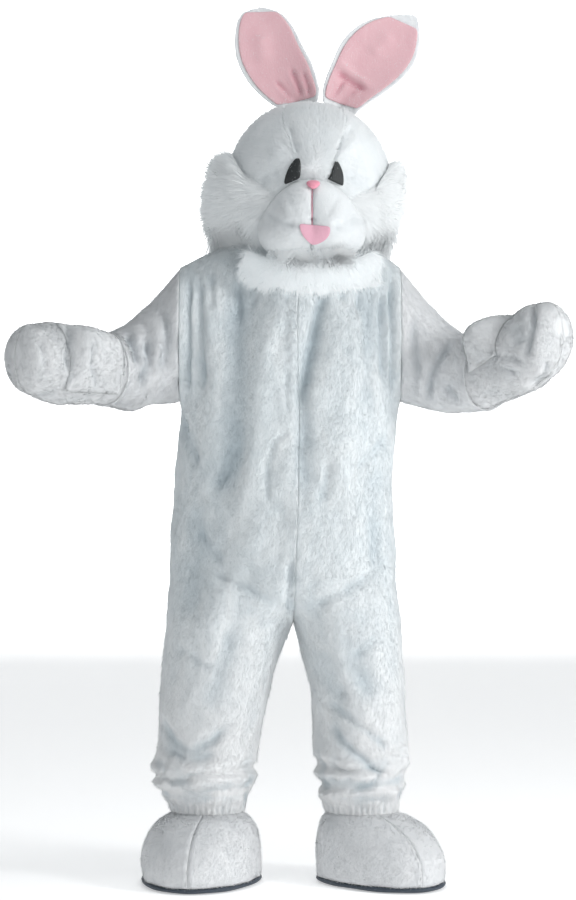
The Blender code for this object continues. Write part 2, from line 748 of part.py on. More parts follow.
def head_point(around, height, lift=0.0):
    """A point of the head, from its angle round from the face and its angle of height."""
    local = points_of(
        np.cos(height) * np.sin(around),
        -np.cos(height) * np.cos(around),
        np.sin(height) + 0 * around,
    )
    return HEAD_CENTRE + (local * (HEAD_AXES + lift)) @ HEAD_FRAME.T


def head_hit(start, way, lift=0.0):
    """Where straight lines first meet the head, or pass it closest, lifted by lift."""
    axes = HEAD_AXES + lift
    place = ((start - HEAD_CENTRE) @ HEAD_FRAME) / axes
    step = (np.array(way, float) @ HEAD_FRAME) / axes
    square = (step * step).sum(-1)
    cross = (place * step).sum(-1)
    rest = (place * place).sum(-1) - 1
    root = np.sqrt(np.maximum(cross**2 - square * rest, 0))
    return start + np.array(way, float) * ((-cross - root) / square)[..., None]


def head_front(x, z, lift=0.0):
    return head_hit(points_of(x, -1.0, z), (0, 1, 0), lift)[..., 1]


def head_panel(name, first_edge, last_edge, spans, shift):
    """One panel of the head between two edge columns of HEAD_CUTS, in degrees round."""

    def surface(u, v):
        start = first_edge(v)
        around = start + (last_edge(v) - start) * u
        return head_point(np.radians(around), np.radians(v))

    mean = np.radians((first_edge(0.0) + last_edge(0.0)) / 2)
    facing = HEAD_FRAME @ np.array((math.sin(mean), -math.cos(mean), 0.3))
    columns = np.linspace(0, 1, spans + 1)
    points, normals = grid_of(surface, columns, HEAD_ROWS, facing)
    normals[0] = HEAD_FRAME[:, 2]
    points = points + HEAD_FRAME @ np.array(shift)
    wall(name, points, points - HEAD_WALL * normals, "plush", first_point=True)


def make_head():
    def gore(height):
        return read(HEAD_CUTS, CUT_COLUMNS, "gore", height)

    def back(height):
        return read(HEAD_CUTS, CUT_COLUMNS, "back", height)

    head_panel("head_forehead", lambda h: -gore(h), gore, 5, (0, -HALF_GAP, 0))
    head_panel("head_side_left", gore, back, 6, (2 * HALF_GAP, 0, 0))
    head_panel(
        "head_side_right", lambda h: -back(h), lambda h: -gore(h), 6, (-2 * HALF_GAP, 0, 0)
    )
    head_panel("head_back", back, lambda h: 360 - back(h), 9, (0, 1.7 * HALF_GAP, 0))


def muzzle_grids(side):
    """The outer and inner grids of one half of the muzzle, ring by ring from its middle."""
    reach_rows = np.array((0, 0.18, 0.36, 0.54, 0.70, 0.84, 0.94, 1.0))[:, None]
    from_top = np.linspace(0, 180, 13)[None, :]
    reach = read(MUZZLE_OUTLINE, MUZZLE_COLUMNS, "reach", from_top)
    x = MUZZLE_CENTRE[0] + side * reach_rows * reach * np.sin(np.radians(from_top))
    z = MUZZLE_CENTRE[1] + reach_rows * reach * np.cos(np.radians(from_top))
    rim_x = MUZZLE_CENTRE[0] + side * reach * np.sin(np.radians(from_top))
    rim_z = MUZZLE_CENTRE[1] + reach * np.cos(np.radians(from_top))
    rim_y = np.minimum(head_front(rim_x, rim_z, MUZZLE_LIFT), MUZZLE_BACK_Y) - MUZZLE_EDGE
    under_y = np.minimum(head_front(x, z, MUZZLE_LIFT), MUZZLE_BACK_Y)
    swell = (1 - reach_rows**2.6) ** 0.62
    over_y = rim_y + (MUZZLE_FRONT_Y - rim_y) * swell
    away_x = x - MUZZLE_CENTRE[0]
    away_z = z - MUZZLE_CENTRE[1]
    lobe = np.exp(-((np.abs(away_x) - 0.060) ** 2 + (away_z + 0.018) ** 2) / (2 * 0.034**2))
    groove = np.exp(-((away_x / 0.012) ** 2)) * soft_step((away_z + 0.035) / 0.02)
    shape = 0.012 * lobe - 0.005 * groove
    over_y = np.minimum(over_y - shape * (1 - reach_rows**4), under_y - MUZZLE_EDGE)
    shift = np.array((side * HALF_GAP, 0, 0))
    return points_of(x, over_y, z) + shift, points_of(x, under_y, z) + shift


def make_muzzle():
    halves = []
    for side, hand in ((-1, "right"), (1, "left")):
        over, under = muzzle_grids(side)
        halves.append(wall(f"muzzle_{hand}", over, under, "plush", first_point=True))
    return halves


def tree_of(objects):
    """One search tree over the faces of some objects."""
    points = []
    faces = []
    for item in objects:
        start = len(points)
        points += [vertex.co.copy() for vertex in item.data.vertices]
        faces += [[start + index for index in face.vertices] for face in item.data.polygons]
    return BVHTree.FromPolygons(points, faces)


def laid_on(tree, x, z, spread):
    """The foremost y of what lies behind each x and z, within a small spread round it."""
    found = np.empty(x.shape)
    for place in np.ndindex(x.shape):
        nearest = []
        for dx in (-spread, 0, spread):
            for dz in (-spread, 0, spread):
                start = Vector((x[place] + dx, -1, z[place] + dz))
                hit = tree.ray_cast(start, Vector((0, 1, 0)))[0]
                if hit:
                    nearest.append(hit.y)
        found[place] = min(nearest)
    return found


def patch_grid(rows, spans, finer):
    """x and z over a patch whose rows give their two ends, with finer rows between."""
    table = np.array(rows, float)
    knots = np.arange(len(rows))
    at = np.linspace(0, len(rows) - 1, (len(rows) - 1) * finer + 1)[:, None]
    ends = [smooth(at, knots, table[:, column]) for column in range(4)]
    across = np.linspace(0, 1, spans + 1)[None, :]
    x = ends[0] + (ends[2] - ends[0]) * across
    z = ends[1] + (ends[3] - ends[1]) * across
    return x, z


def laid_patch(name, tree, rows, thickness, crown, material, spans=5, finer=1, spread=0.003):
    """A thin piece laid on the faces in a tree, thicker in the middle by its crown."""
    x, z = patch_grid(rows, spans, finer)
    under_y = laid_on(tree, x, z, spread) - SEAM_GAP
    down = np.linspace(-1, 1, x.shape[0])[:, None]
    across = np.linspace(-1, 1, x.shape[1])[None, :]
    dome = ((1 - down**2) * (1 - across**2)) ** 0.5
    over_y = under_y - thickness - crown * dome
    return wall(name, points_of(x, over_y, z), points_of(x, under_y, z), material)


def make_face(halves):
    head = [bpy.data.objects[name] for name in ("head_forehead", "head_side_right", "head_side_left")]
    head_tree = tree_of(head)
    muzzle_tree = tree_of(halves)
    laid_patch("eye_right", head_tree, EYE_RIGHT, EYE_THICKNESS, EYE_CROWN, "eye_mesh", spans=4)
    laid_patch("eye_left", head_tree, EYE_LEFT, EYE_THICKNESS, EYE_CROWN, "eye_mesh", spans=4)
    laid_patch("mouth", muzzle_tree, MOUTH, MOUTH_THICKNESS, 0.0, "mouth_felt", spans=7, spread=0.006)
    both = tree_of(head + halves)
    laid_patch("nose", both, NOSE, NOSE_EDGE, NOSE_CROWN, "nose_satin", spans=6, spread=0.0010)


def make_cheek_ruff(side, hand):
    """Long fur from the edge of the face out to its tips, as one thick curved wedge."""
    table = RUFFS[side]
    heights = np.linspace(table[-1][0], table[0][0], RUFF_ROWS)[:, None]
    reversed_rows = table[::-1]
    front = read(reversed_rows, RUFF_COLUMNS, "front", heights)
    tip_x = read(reversed_rows, RUFF_COLUMNS, "tip_x", heights)
    tip_z = read(reversed_rows, RUFF_COLUMNS, "tip_z", heights)
    share = np.linspace(0, 1, 9)[None, :]
    around = np.radians(side * (front + (RUFF_BACK_ANGLE - front) * share))
    height = np.radians(heights) + 0 * share
    under = head_point(around, height, RUFF_LIFT)
    edge = head_point(around, height, RUFF_LIFT + RUFF_EDGE)
    middle = head_point(np.radians(side * RUFF_MIDDLE_ANGLE) + 0 * height, height, RUFF_EDGE)
    tufts = np.abs(np.sin(np.linspace(0, RUFF_TUFTS * math.pi, RUFF_ROWS)))[:, None]
    longer = 1 - RUFF_TUFT_SHARE * (1 - tufts)
    tips = points_of(tip_x, RUFF_TIP_Y, tip_z)
    pull = (tips - middle) * longer[..., None]
    rising = np.clip(share / RUFF_PEAK_SHARE, 0, 1)
    falling = np.clip((share - RUFF_PEAK_SHARE) / (1 - RUFF_PEAK_SHARE), 0, 1)
    bump = np.sin(math.pi / 2 * (rising + falling)) ** 1.3
    wall(f"cheek_ruff_{hand}", edge + pull * bump[..., None], under, "plush")


def make_chin_ruff():
    """A band of long fur that hangs from under the muzzle and rests on the chest."""
    chest = [bpy.data.objects[f"suit_front_{hand}"] for hand in ("right", "left")]
    chest_tree = tree_of(chest)
    across = np.linspace(-1, 1, CHIN_SPANS + 1)
    middle = sum(CHIN_REACH) / 2
    half = (CHIN_REACH[1] - CHIN_REACH[0]) / 2
    x = middle + half * across
    fall = np.array((0, 0.35, 0.7, 1.0))[:, None]
    tuft = CHIN_TUFT * np.abs(np.sin(np.arange(CHIN_SPANS + 1) * math.pi / 2))
    top_z = CHIN_TOP_Z + CHIN_END_CLIMB * across**4
    foot_z = CHIN_FOOT_Z + CHIN_FOOT_CLIMB * across**2 - tuft
    z = top_z + (foot_z - top_z) * fall
    grid_x = x + 0 * z
    top_y = CHIN_TOP_Y + (CHIN_END_Y - CHIN_TOP_Y) * across**2
    foot_y = laid_on(chest_tree, grid_x[-1], z[-1], CHIN_SPREAD) - SEAM_GAP
    under_y = np.minimum(
        top_y + (foot_y - top_y) * fall**1.5,
        laid_on(chest_tree, grid_x, np.minimum(z, CHIN_LEVEL_Z), CHIN_SPREAD) - SEAM_GAP,
    )
    over_y = under_y - CHIN_THICKNESS * (1 - 0.55 * fall**2)
    wall("chin_ruff", points_of(grid_x, over_y, z), points_of(grid_x, under_y, z), "plush")


def ear_surface(side):
    """The ear's front face. u runs across from -1 to 1, v from the base to the tip."""
    table = np.array(EARS[side], float)
    knots = np.arange(len(table))

    def surface(u, v):
        edge = [smooth(v, knots, table[:, column]) for column in range(4)]
        part = (u + 1) / 2
        x = edge[0] + (edge[2] - edge[0]) * part
        z = edge[1] + (edge[3] - edge[1]) * part
        height = v / (len(table) - 1)
        pleats = EAR_PLEAT * np.cos(4 * math.pi * u) * np.clip(1 - height / 0.45, 0, 1)
        cup = EAR_CUP * u * u * (1 - height)
        y = 0.004 + EAR_LEAN * height - cup + pleats
        return points_of(x, y, z)

    return surface


def seat_on_head(points):
    """Drops the points of a row onto the head, a seam's gap above it."""
    above = points.copy()
    above[:, 2] = 1.0
    return head_hit(above, (0, 0, -1), LAID_LIFT)


def make_ear(side, hand):
    steps = len(EARS[side]) - 1
    rows = (0, 0.5, 1, 1.6, 2.3, 3, 3.8, 4.6, 5.4, 6.2, 7, 7.6, steps)
    columns = np.array(EAR_LINES, float)
    points, normals = grid_of(ear_surface(side), columns, rows, (0, -1, 0))
    normals[-1] = (0, -1, 0)
    away = np.abs(columns)[None, :, None]
    back = points - EAR_THICKNESS * (1 - 0.35 * away) * normals
    front = points.copy()
    front[0] = seat_on_head(front[0])
    back[0] = seat_on_head(back[0])
    wall(f"ear_{hand}_back", front, back, "plush", last_point=True)
    inset = slice(1, len(EAR_LINES) - 1)
    used = slice(1, len(rows) - 2)
    under = points[used, inset] + LINING_LIFT * normals[used, inset]
    over = under + LINING_THICKNESS * normals[used, inset]
    wall(f"ear_{hand}_lining", over, under, "ear_lining")


def foot_ring(side, rings, step, angle):
    """A point of a foot ring, angle from the toe with the foot's own right at -90 degrees."""
    height = read(rings, FOOT_COLUMNS, "height", step)
    half_width = read(rings, FOOT_COLUMNS, "half_width", step)
    front = read(rings, FOOT_COLUMNS, "front", step)
    back = read(rings, FOOT_COLUMNS, "back", step)
    reach = np.where(np.cos(angle) > 0, front, back)
    across = half_width * np.sin(angle)
    ahead = -reach * np.cos(angle)
    yaw = FOOT_YAW[side]
    middle_x = FOOT_ANKLE_X[side] + FOOT_SWING[side] * read(rings, FOOT_COLUMNS, "swing", step)
    x = middle_x + across * math.cos(yaw) - ahead * math.sin(yaw)
    y = across * math.sin(yaw) + ahead * math.cos(yaw)
    return points_of(x, y, FLOOR_Z + height)


def make_foot(side, hand):
    rows = (0, 1, 1.5, 2.1, 2.9, 3.8, 4.9, 6, 7)
    yaw = FOOT_YAW[side]
    for half in (-1, 1):
        name = f"foot_{hand}_{'outer' if half == side else 'inner'}"
        columns = half * np.linspace(0, math.pi, FOOT_SPANS + 1)

        def surface(u, v):
            return foot_ring(side, FOOT_RINGS, v, u)

        way = np.array((half * math.cos(yaw), half * math.sin(yaw), 0))
        points, normals = grid_of(surface, columns, rows, way)
        for row in (0, 1, -1):
            normals[row, :, 2] = 0
        seam = np.array((-math.sin(yaw), math.cos(yaw), 0))
        for column in (0, -1):
            flat = normals[:, column] @ seam
            normals[:, column, :2] = (flat[:, None] * seam)[:, :2]
        normals = unit(normals)
        points = points + HALF_GAP * way
        wall(name, points, points - FOOT_WALL * normals, "plush")
    make_sole(side, hand)


def make_sole(side, hand):
    """A flat sole with a turned-up edge, capped above and below."""
    shape = bmesh.new()
    spans = 2 * FOOT_SPANS
    angles = np.arange(spans) / spans * 2 * math.pi
    loops = []
    for ring in SOLE_RINGS:
        places = foot_ring(side, SOLE_RINGS, float(ring[0]), angles)
        loops.append([shape.verts.new(place) for place in places])
    for lower, upper in zip(loops, loops[1:]):
        for index in range(spans):
            after = (index + 1) % spans
            shape.faces.new((lower[index], lower[after], upper[after], upper[index]))
    shape.faces.new(loops[0])
    shape.faces.new(loops[-1])
    finish_mesh(f"foot_{hand}_sole", shape, "sole")


def clear_scene():
    for item in list(bpy.data.objects):
        bpy.data.objects.remove(item, do_unlink=True)


clear_scene()
COSTUME = bpy.data.collections.new("rabbit_mascot_costume")
bpy.context.scene.collection.children.link(COSTUME)
make_suit()
make_head()
make_face(make_muzzle())
for wearer_side, wearer_hand in ((-1, "right"), (1, "left")):
    make_sleeve(wearer_side, wearer_hand)
    make_mitt(wearer_side, wearer_hand)
    make_cheek_ruff(wearer_side, wearer_hand)
    make_ear(wearer_side, wearer_hand)
    make_foot(wearer_side, wearer_hand)
make_chin_ruff()
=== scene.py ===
import math

import bmesh
import bpy
import numpy as np
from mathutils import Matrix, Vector, noise
from mathutils.bvhtree import BVHTree


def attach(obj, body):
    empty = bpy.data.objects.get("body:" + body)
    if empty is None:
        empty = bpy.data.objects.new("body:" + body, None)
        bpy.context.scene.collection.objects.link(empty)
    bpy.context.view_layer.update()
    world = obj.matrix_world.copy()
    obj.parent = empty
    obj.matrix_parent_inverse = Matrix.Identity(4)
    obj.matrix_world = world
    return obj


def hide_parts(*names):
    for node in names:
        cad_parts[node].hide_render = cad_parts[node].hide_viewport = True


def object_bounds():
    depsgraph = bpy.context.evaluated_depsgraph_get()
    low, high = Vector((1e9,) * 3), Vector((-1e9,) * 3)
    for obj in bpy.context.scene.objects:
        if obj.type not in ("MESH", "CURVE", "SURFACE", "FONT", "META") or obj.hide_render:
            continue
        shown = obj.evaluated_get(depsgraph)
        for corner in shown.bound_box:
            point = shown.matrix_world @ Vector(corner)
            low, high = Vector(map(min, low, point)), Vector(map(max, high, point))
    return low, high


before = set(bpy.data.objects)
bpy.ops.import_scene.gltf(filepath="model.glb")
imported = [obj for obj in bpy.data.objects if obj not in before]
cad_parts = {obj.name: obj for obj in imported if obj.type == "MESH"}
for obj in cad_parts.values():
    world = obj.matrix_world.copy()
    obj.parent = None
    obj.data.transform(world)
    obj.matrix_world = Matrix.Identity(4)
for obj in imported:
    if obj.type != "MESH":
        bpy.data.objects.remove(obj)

cad_low, cad_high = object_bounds()

# Suit body
# Four panels of short white plush, knit at the back and brushed down. They are sewn at the
# shoulders, sides, inside legs and down the middle, where the pile covers the closure.
PLUSH_LIT = (0.82, 0.845, 0.85)
PLUSH_SHADE = (0.66, 0.72, 0.745)
PLUSH_WARM = (0.91, 0.88, 0.87)
PLUSH_WALL = 0.003
# crease depth at which the painted shade in a crease is full
FULL_SHADE_FOLD_DEPTH = 0.016
WEARER_RIGHT = -1
WEARER_LEFT = 1
FRONT = -1
BACK = 1


def new_group(name, inputs, outputs):
    """A shader node group with plain float inputs, and its two end nodes."""
    group = bpy.data.node_groups.new(name, "ShaderNodeTree")
    for label, value in inputs:
        socket = group.interface.new_socket(label, in_out="INPUT", socket_type="NodeSocketFloat")
        socket.default_value = value
    for label, kind in outputs:
        group.interface.new_socket(label, in_out="OUTPUT", socket_type=kind)
    start = group.nodes.new("NodeGroupInput")
    end = group.nodes.new("NodeGroupOutput")
    return group, start, end


def nap_streaks():
    """Where brushed pile leans to and from the light: long soft patches with fine hair in them."""
    inputs = (("Patch Size", 0.05), ("Stretch", 0.45), ("Contrast", 1.0), ("Hair Size", 0.0035))
    outputs = (("Mask", "NodeSocketFloat"), ("Height", "NodeSocketFloat"))
    group, start, end = new_group("Nap Streaks", inputs, outputs)
    nodes, links = group.nodes, group.links
    place = nodes.new("ShaderNodeTexCoord")
    squeeze = nodes.new("ShaderNodeCombineXYZ")
    squeeze.inputs["X"].default_value = 1
    squeeze.inputs["Y"].default_value = 1
    links.new(start.outputs["Stretch"], squeeze.inputs["Z"])
    stretched = nodes.new("ShaderNodeVectorMath")
    stretched.operation = "MULTIPLY"
    links.new(place.outputs["Object"], stretched.inputs[0])
    links.new(squeeze.outputs["Vector"], stretched.inputs[1])
    layers = []
    for label, detail, twist in (("Patch Size", 5.0, 0.9), ("Hair Size", 2.0, 0.4)):
        size = nodes.new("ShaderNodeMath")
        size.operation = "DIVIDE"
        size.inputs[0].default_value = 1
        links.new(start.outputs[label], size.inputs[1])
        cloud = nodes.new("ShaderNodeTexNoise")
        cloud.inputs["Detail"].default_value = detail
        cloud.inputs["Roughness"].default_value = 0.62
        cloud.inputs["Distortion"].default_value = twist
        links.new(stretched.outputs["Vector"], cloud.inputs["Vector"])
        links.new(size.outputs["Value"], cloud.inputs["Scale"])
        layers.append(cloud.outputs["Fac"])
    middle = nodes.new("ShaderNodeMath")
    middle.operation = "SUBTRACT"
    middle.inputs[1].default_value = 0.5
    links.new(layers[0], middle.inputs[0])
    spread = nodes.new("ShaderNodeMath")
    spread.operation = "MULTIPLY_ADD"
    spread.inputs[2].default_value = 0.5
    spread.use_clamp = True
    links.new(middle.outputs["Value"], spread.inputs[0])
    steep = nodes.new("ShaderNodeMath")
    steep.operation = "MULTIPLY"
    steep.inputs[1].default_value = 3.2
    links.new(start.outputs["Contrast"], steep.inputs[0])
    links.new(steep.outputs["Value"], spread.inputs[1])
    both = nodes.new("ShaderNodeMix")
    both.data_type = "FLOAT"
    both.inputs["Factor"].default_value = 0.28
    links.new(spread.outputs["Value"], both.inputs["A"])
    links.new(layers[1], both.inputs["B"])
    links.new(both.outputs["Result"], end.inputs["Mask"])
    links.new(layers[1], end.inputs["Height"])
    return group


NAP_STREAKS = nap_streaks()


def plush_material(name, lit, shade, patch=0.05, contrast=1.0, sheen=0.5, bump=0.0015, warm=0.0, fold_shade=None):
    """Brushed plush: painted lit and shaded tones in streaks along the nap, painted shade in the creases, a soft
    sheen, hair-fine bump.
    """
    made = bpy.data.materials.new(name)
    made.use_nodes = True
    nodes, links = made.node_tree.nodes, made.node_tree.links
    shader = nodes["Principled BSDF"]
    streaks = nodes.new("ShaderNodeGroup")
    streaks.node_tree = NAP_STREAKS
    streaks.inputs["Patch Size"].default_value = patch
    streaks.inputs["Contrast"].default_value = contrast
    tones = nodes.new("ShaderNodeMix")
    tones.data_type = "RGBA"
    tones.inputs["A"].default_value = (*shade, 1)
    tones.inputs["B"].default_value = (*lit, 1)
    links.new(streaks.outputs["Mask"], tones.inputs["Factor"])
    colour = tones.outputs["Result"]
    if warm:
        place = nodes.new("ShaderNodeTexCoord")
        split = nodes.new("ShaderNodeSeparateXYZ")
        links.new(place.outputs["Object"], split.inputs["Vector"])
        low = nodes.new("ShaderNodeMapRange")
        low.inputs["From Min"].default_value = -0.75
        low.inputs["From Max"].default_value = -1.25
        low.inputs["To Max"].default_value = warm
        links.new(split.outputs["Z"], low.inputs["Value"])
        warmed = nodes.new("ShaderNodeMix")
        warmed.data_type = "RGBA"
        warmed.inputs["B"].default_value = (*PLUSH_WARM, 1)
        links.new(low.outputs["Result"], warmed.inputs["Factor"])
        links.new(colour, warmed.inputs["A"])
        colour = warmed.outputs["Result"]
    # Painted shade: the colour darkens towards a crease colour where a point lies deep in a crease.
    fold_shade_share = nodes.new("ShaderNodeAttribute")
    fold_shade_share.attribute_name = "fold_shade"
    fold_shade_mix = nodes.new("ShaderNodeMix")
    fold_shade_mix.data_type = "RGBA"
    fold_shade_mix.inputs["B"].default_value = (*(fold_shade or (0.84 * shade[0], 0.87 * shade[1], 0.89 * shade[2])), 1)
    links.new(fold_shade_share.outputs["Fac"], fold_shade_mix.inputs["Factor"])
    links.new(colour, fold_shade_mix.inputs["A"])
    links.new(fold_shade_mix.outputs["Result"], shader.inputs["Base Color"])
    rough = nodes.new("ShaderNodeMapRange")
    rough.inputs["To Min"].default_value = 0.85
    rough.inputs["To Max"].default_value = 0.62
    links.new(streaks.outputs["Mask"], rough.inputs["Value"])
    links.new(rough.outputs["Result"], shader.inputs["Roughness"])
    relief = nodes.new("ShaderNodeBump")
    relief.inputs["Distance"].default_value = bump
    relief.inputs["Strength"].default_value = 0.7
    links.new(streaks.outputs["Height"], relief.inputs["Height"])
    links.new(relief.outputs["Normal"], shader.inputs["Normal"])
    shader.inputs["Sheen Weight"].default_value = sheen
    shader.inputs["Sheen Roughness"].default_value = 0.35
    shader.inputs["Specular IOR Level"].default_value = 0.25
    return made


SUIT_PLUSH = plush_material("suit plush", PLUSH_LIT, PLUSH_SHADE, patch=0.060, contrast=0.6, warm=0.5)


def soft(value):
    """0 up to 0, 1 from 1 on, and a soft climb between."""
    part = np.clip(value, 0, 1)
    return part * part * (3 - 2 * part)


def unit(vectors):
    return vectors / np.maximum(np.linalg.norm(vectors, axis=-1, keepdims=True), 1e-9)


def points_of(piece):
    """The places of a piece's vertices, one row each."""
    places = np.empty(len(piece.data.vertices) * 3)
    piece.data.vertices.foreach_get("co", places)
    return places.reshape(-1, 3)


def move_points(piece, places):
    piece.data.vertices.foreach_set("co", places.ravel())
    piece.data.update()


def paint_fold_shade(piece, depths):
    """Keeps how deep in a crease each point lies, for painted shade that darkens the pile's colour there."""
    fold_shade = piece.data.attributes.new("fold_shade", "FLOAT", "POINT")
    fold_shade.data.foreach_set("value", np.clip(depths / FULL_SHADE_FOLD_DEPTH, 0, 1).astype(np.float32))


def finish_piece(piece, material):
    """Gives a piece its material and its place on the costume."""
    piece.data.materials.clear()
    piece.data.materials.append(material)
    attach(piece, "root")
    return piece


def cloth_on(node, wall, levels):
    """A smooth cloth wall on a solid's form. Its rims are creased, so the seams stay shut."""
    piece = bpy.data.objects.new(f"cloth_{node}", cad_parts[node].data.copy())
    bpy.context.scene.collection.objects.link(piece)
    bpy.ops.object.select_all(action="DESELECT")
    piece.select_set(True)
    bpy.context.view_layer.objects.active = piece
    bpy.ops.object.mode_set(mode="EDIT")
    bpy.ops.mesh.select_all(action="SELECT")
    bpy.ops.mesh.remove_doubles(threshold=1e-5)
    bpy.ops.mesh.tris_convert_to_quads(face_threshold=math.pi, shape_threshold=math.pi)
    bpy.ops.object.mode_set(mode="OBJECT")
    shape = bmesh.new()
    shape.from_mesh(piece.data)
    crease = shape.edges.layers.float.new("crease_edge")
    through = {edge for edge in shape.edges if edge.calc_length() < 1.3 * wall}
    rim = {face for face in shape.faces if sum(edge in through for edge in face.edges) > 1}
    for edge in shape.edges:
        rims = sum(face in rim for face in edge.link_faces)
        bent = len(edge.link_faces) == 2 and edge.calc_face_angle() > math.radians(50)
        if rims == 1 or (rims == 2 and bent):
            edge[crease] = 1.0
    shape.to_mesh(piece.data)
    shape.free()
    finer = piece.modifiers.new("finer", "SUBSURF")
    finer.levels = levels
    finer.render_levels = levels
    bpy.ops.object.modifier_apply(modifier=finer.name)
    piece.data.shade_smooth()
    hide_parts(node)
    return piece


def pressed(places, depths, routes, face_way):
    """Adds to depths each trough (or ridge, where depth is below 0) along its route.

    A route is a list of (x, z) points. Troughs fade out at both ends, and face_way says how
    much each point faces the side that the routes are drawn on."""
    x, z = places[:, 0], places[:, 2]
    for width, depth, route in routes:
        ends = np.array(route, float)
        runs = np.diff(ends, axis=0)
        lengths = np.hypot(*runs.T)
        total = lengths.sum()
        nearest = np.full(len(places), np.inf)
        share = np.zeros(len(places))
        walked = 0.0
        for start, run, length in zip(ends, runs, lengths):
            along = ((x - start[0]) * run[0] + (z - start[1]) * run[1]) / length**2
            along = np.clip(along, 0, 1)
            away = np.hypot(x - start[0] - along * run[0], z - start[1] - along * run[1])
            closer = away < nearest
            nearest = np.where(closer, away, nearest)
            share = np.where(closer, (walked + along * length) / total, share)
            walked += length
        fade = soft(share / 0.22) * soft((1 - share) / 0.22) * 0.85 + 0.15
        uneven = 1 + 0.15 * np.sin(9 * share + 40 * width + 3 * depth)
        depths += depth * fade * uneven * np.exp(-((nearest / width) ** 2)) * face_way
    return depths


def rumpled(places, size, height, seed):
    """Soft unevenness of loose plush: how far each point stands out."""
    shift = Vector((seed * 3.7, seed * 1.3, seed * 7.1))
    stretch = np.array((1, 1, 0.6)) / size
    return height * np.array([noise.noise(Vector(place) + shift) for place in places * stretch])


def suit_outward(places):
    """Straight out of the suit: from the trunk's middle above the fork, from each leg below."""
    x, y, z = places.T
    drops = (0.346, 0.704, 0.859, 0.957, 1.069, 1.154, 1.300)
    right = np.interp(-z, drops, (0.0, -0.016, -0.150, -0.165, -0.181, -0.194, -0.192))
    left = np.interp(-z, drops, (0.0, -0.016, 0.133, 0.150, 0.163, 0.166, 0.168))
    middle = np.where(x < 0.0, right, left)
    wide = np.interp(-z, drops, (0.257, 0.265, 0.145, 0.125, 0.115, 0.110, 0.086))
    deep = np.interp(-z, drops, (0.165, 0.165, 0.150, 0.137, 0.128, 0.123, 0.086))
    up = 3.0 * soft((z + 0.13) / 0.17)
    return unit(np.stack(((x - middle) / wide**2, y / deep**2, up / 0.2), axis=1))


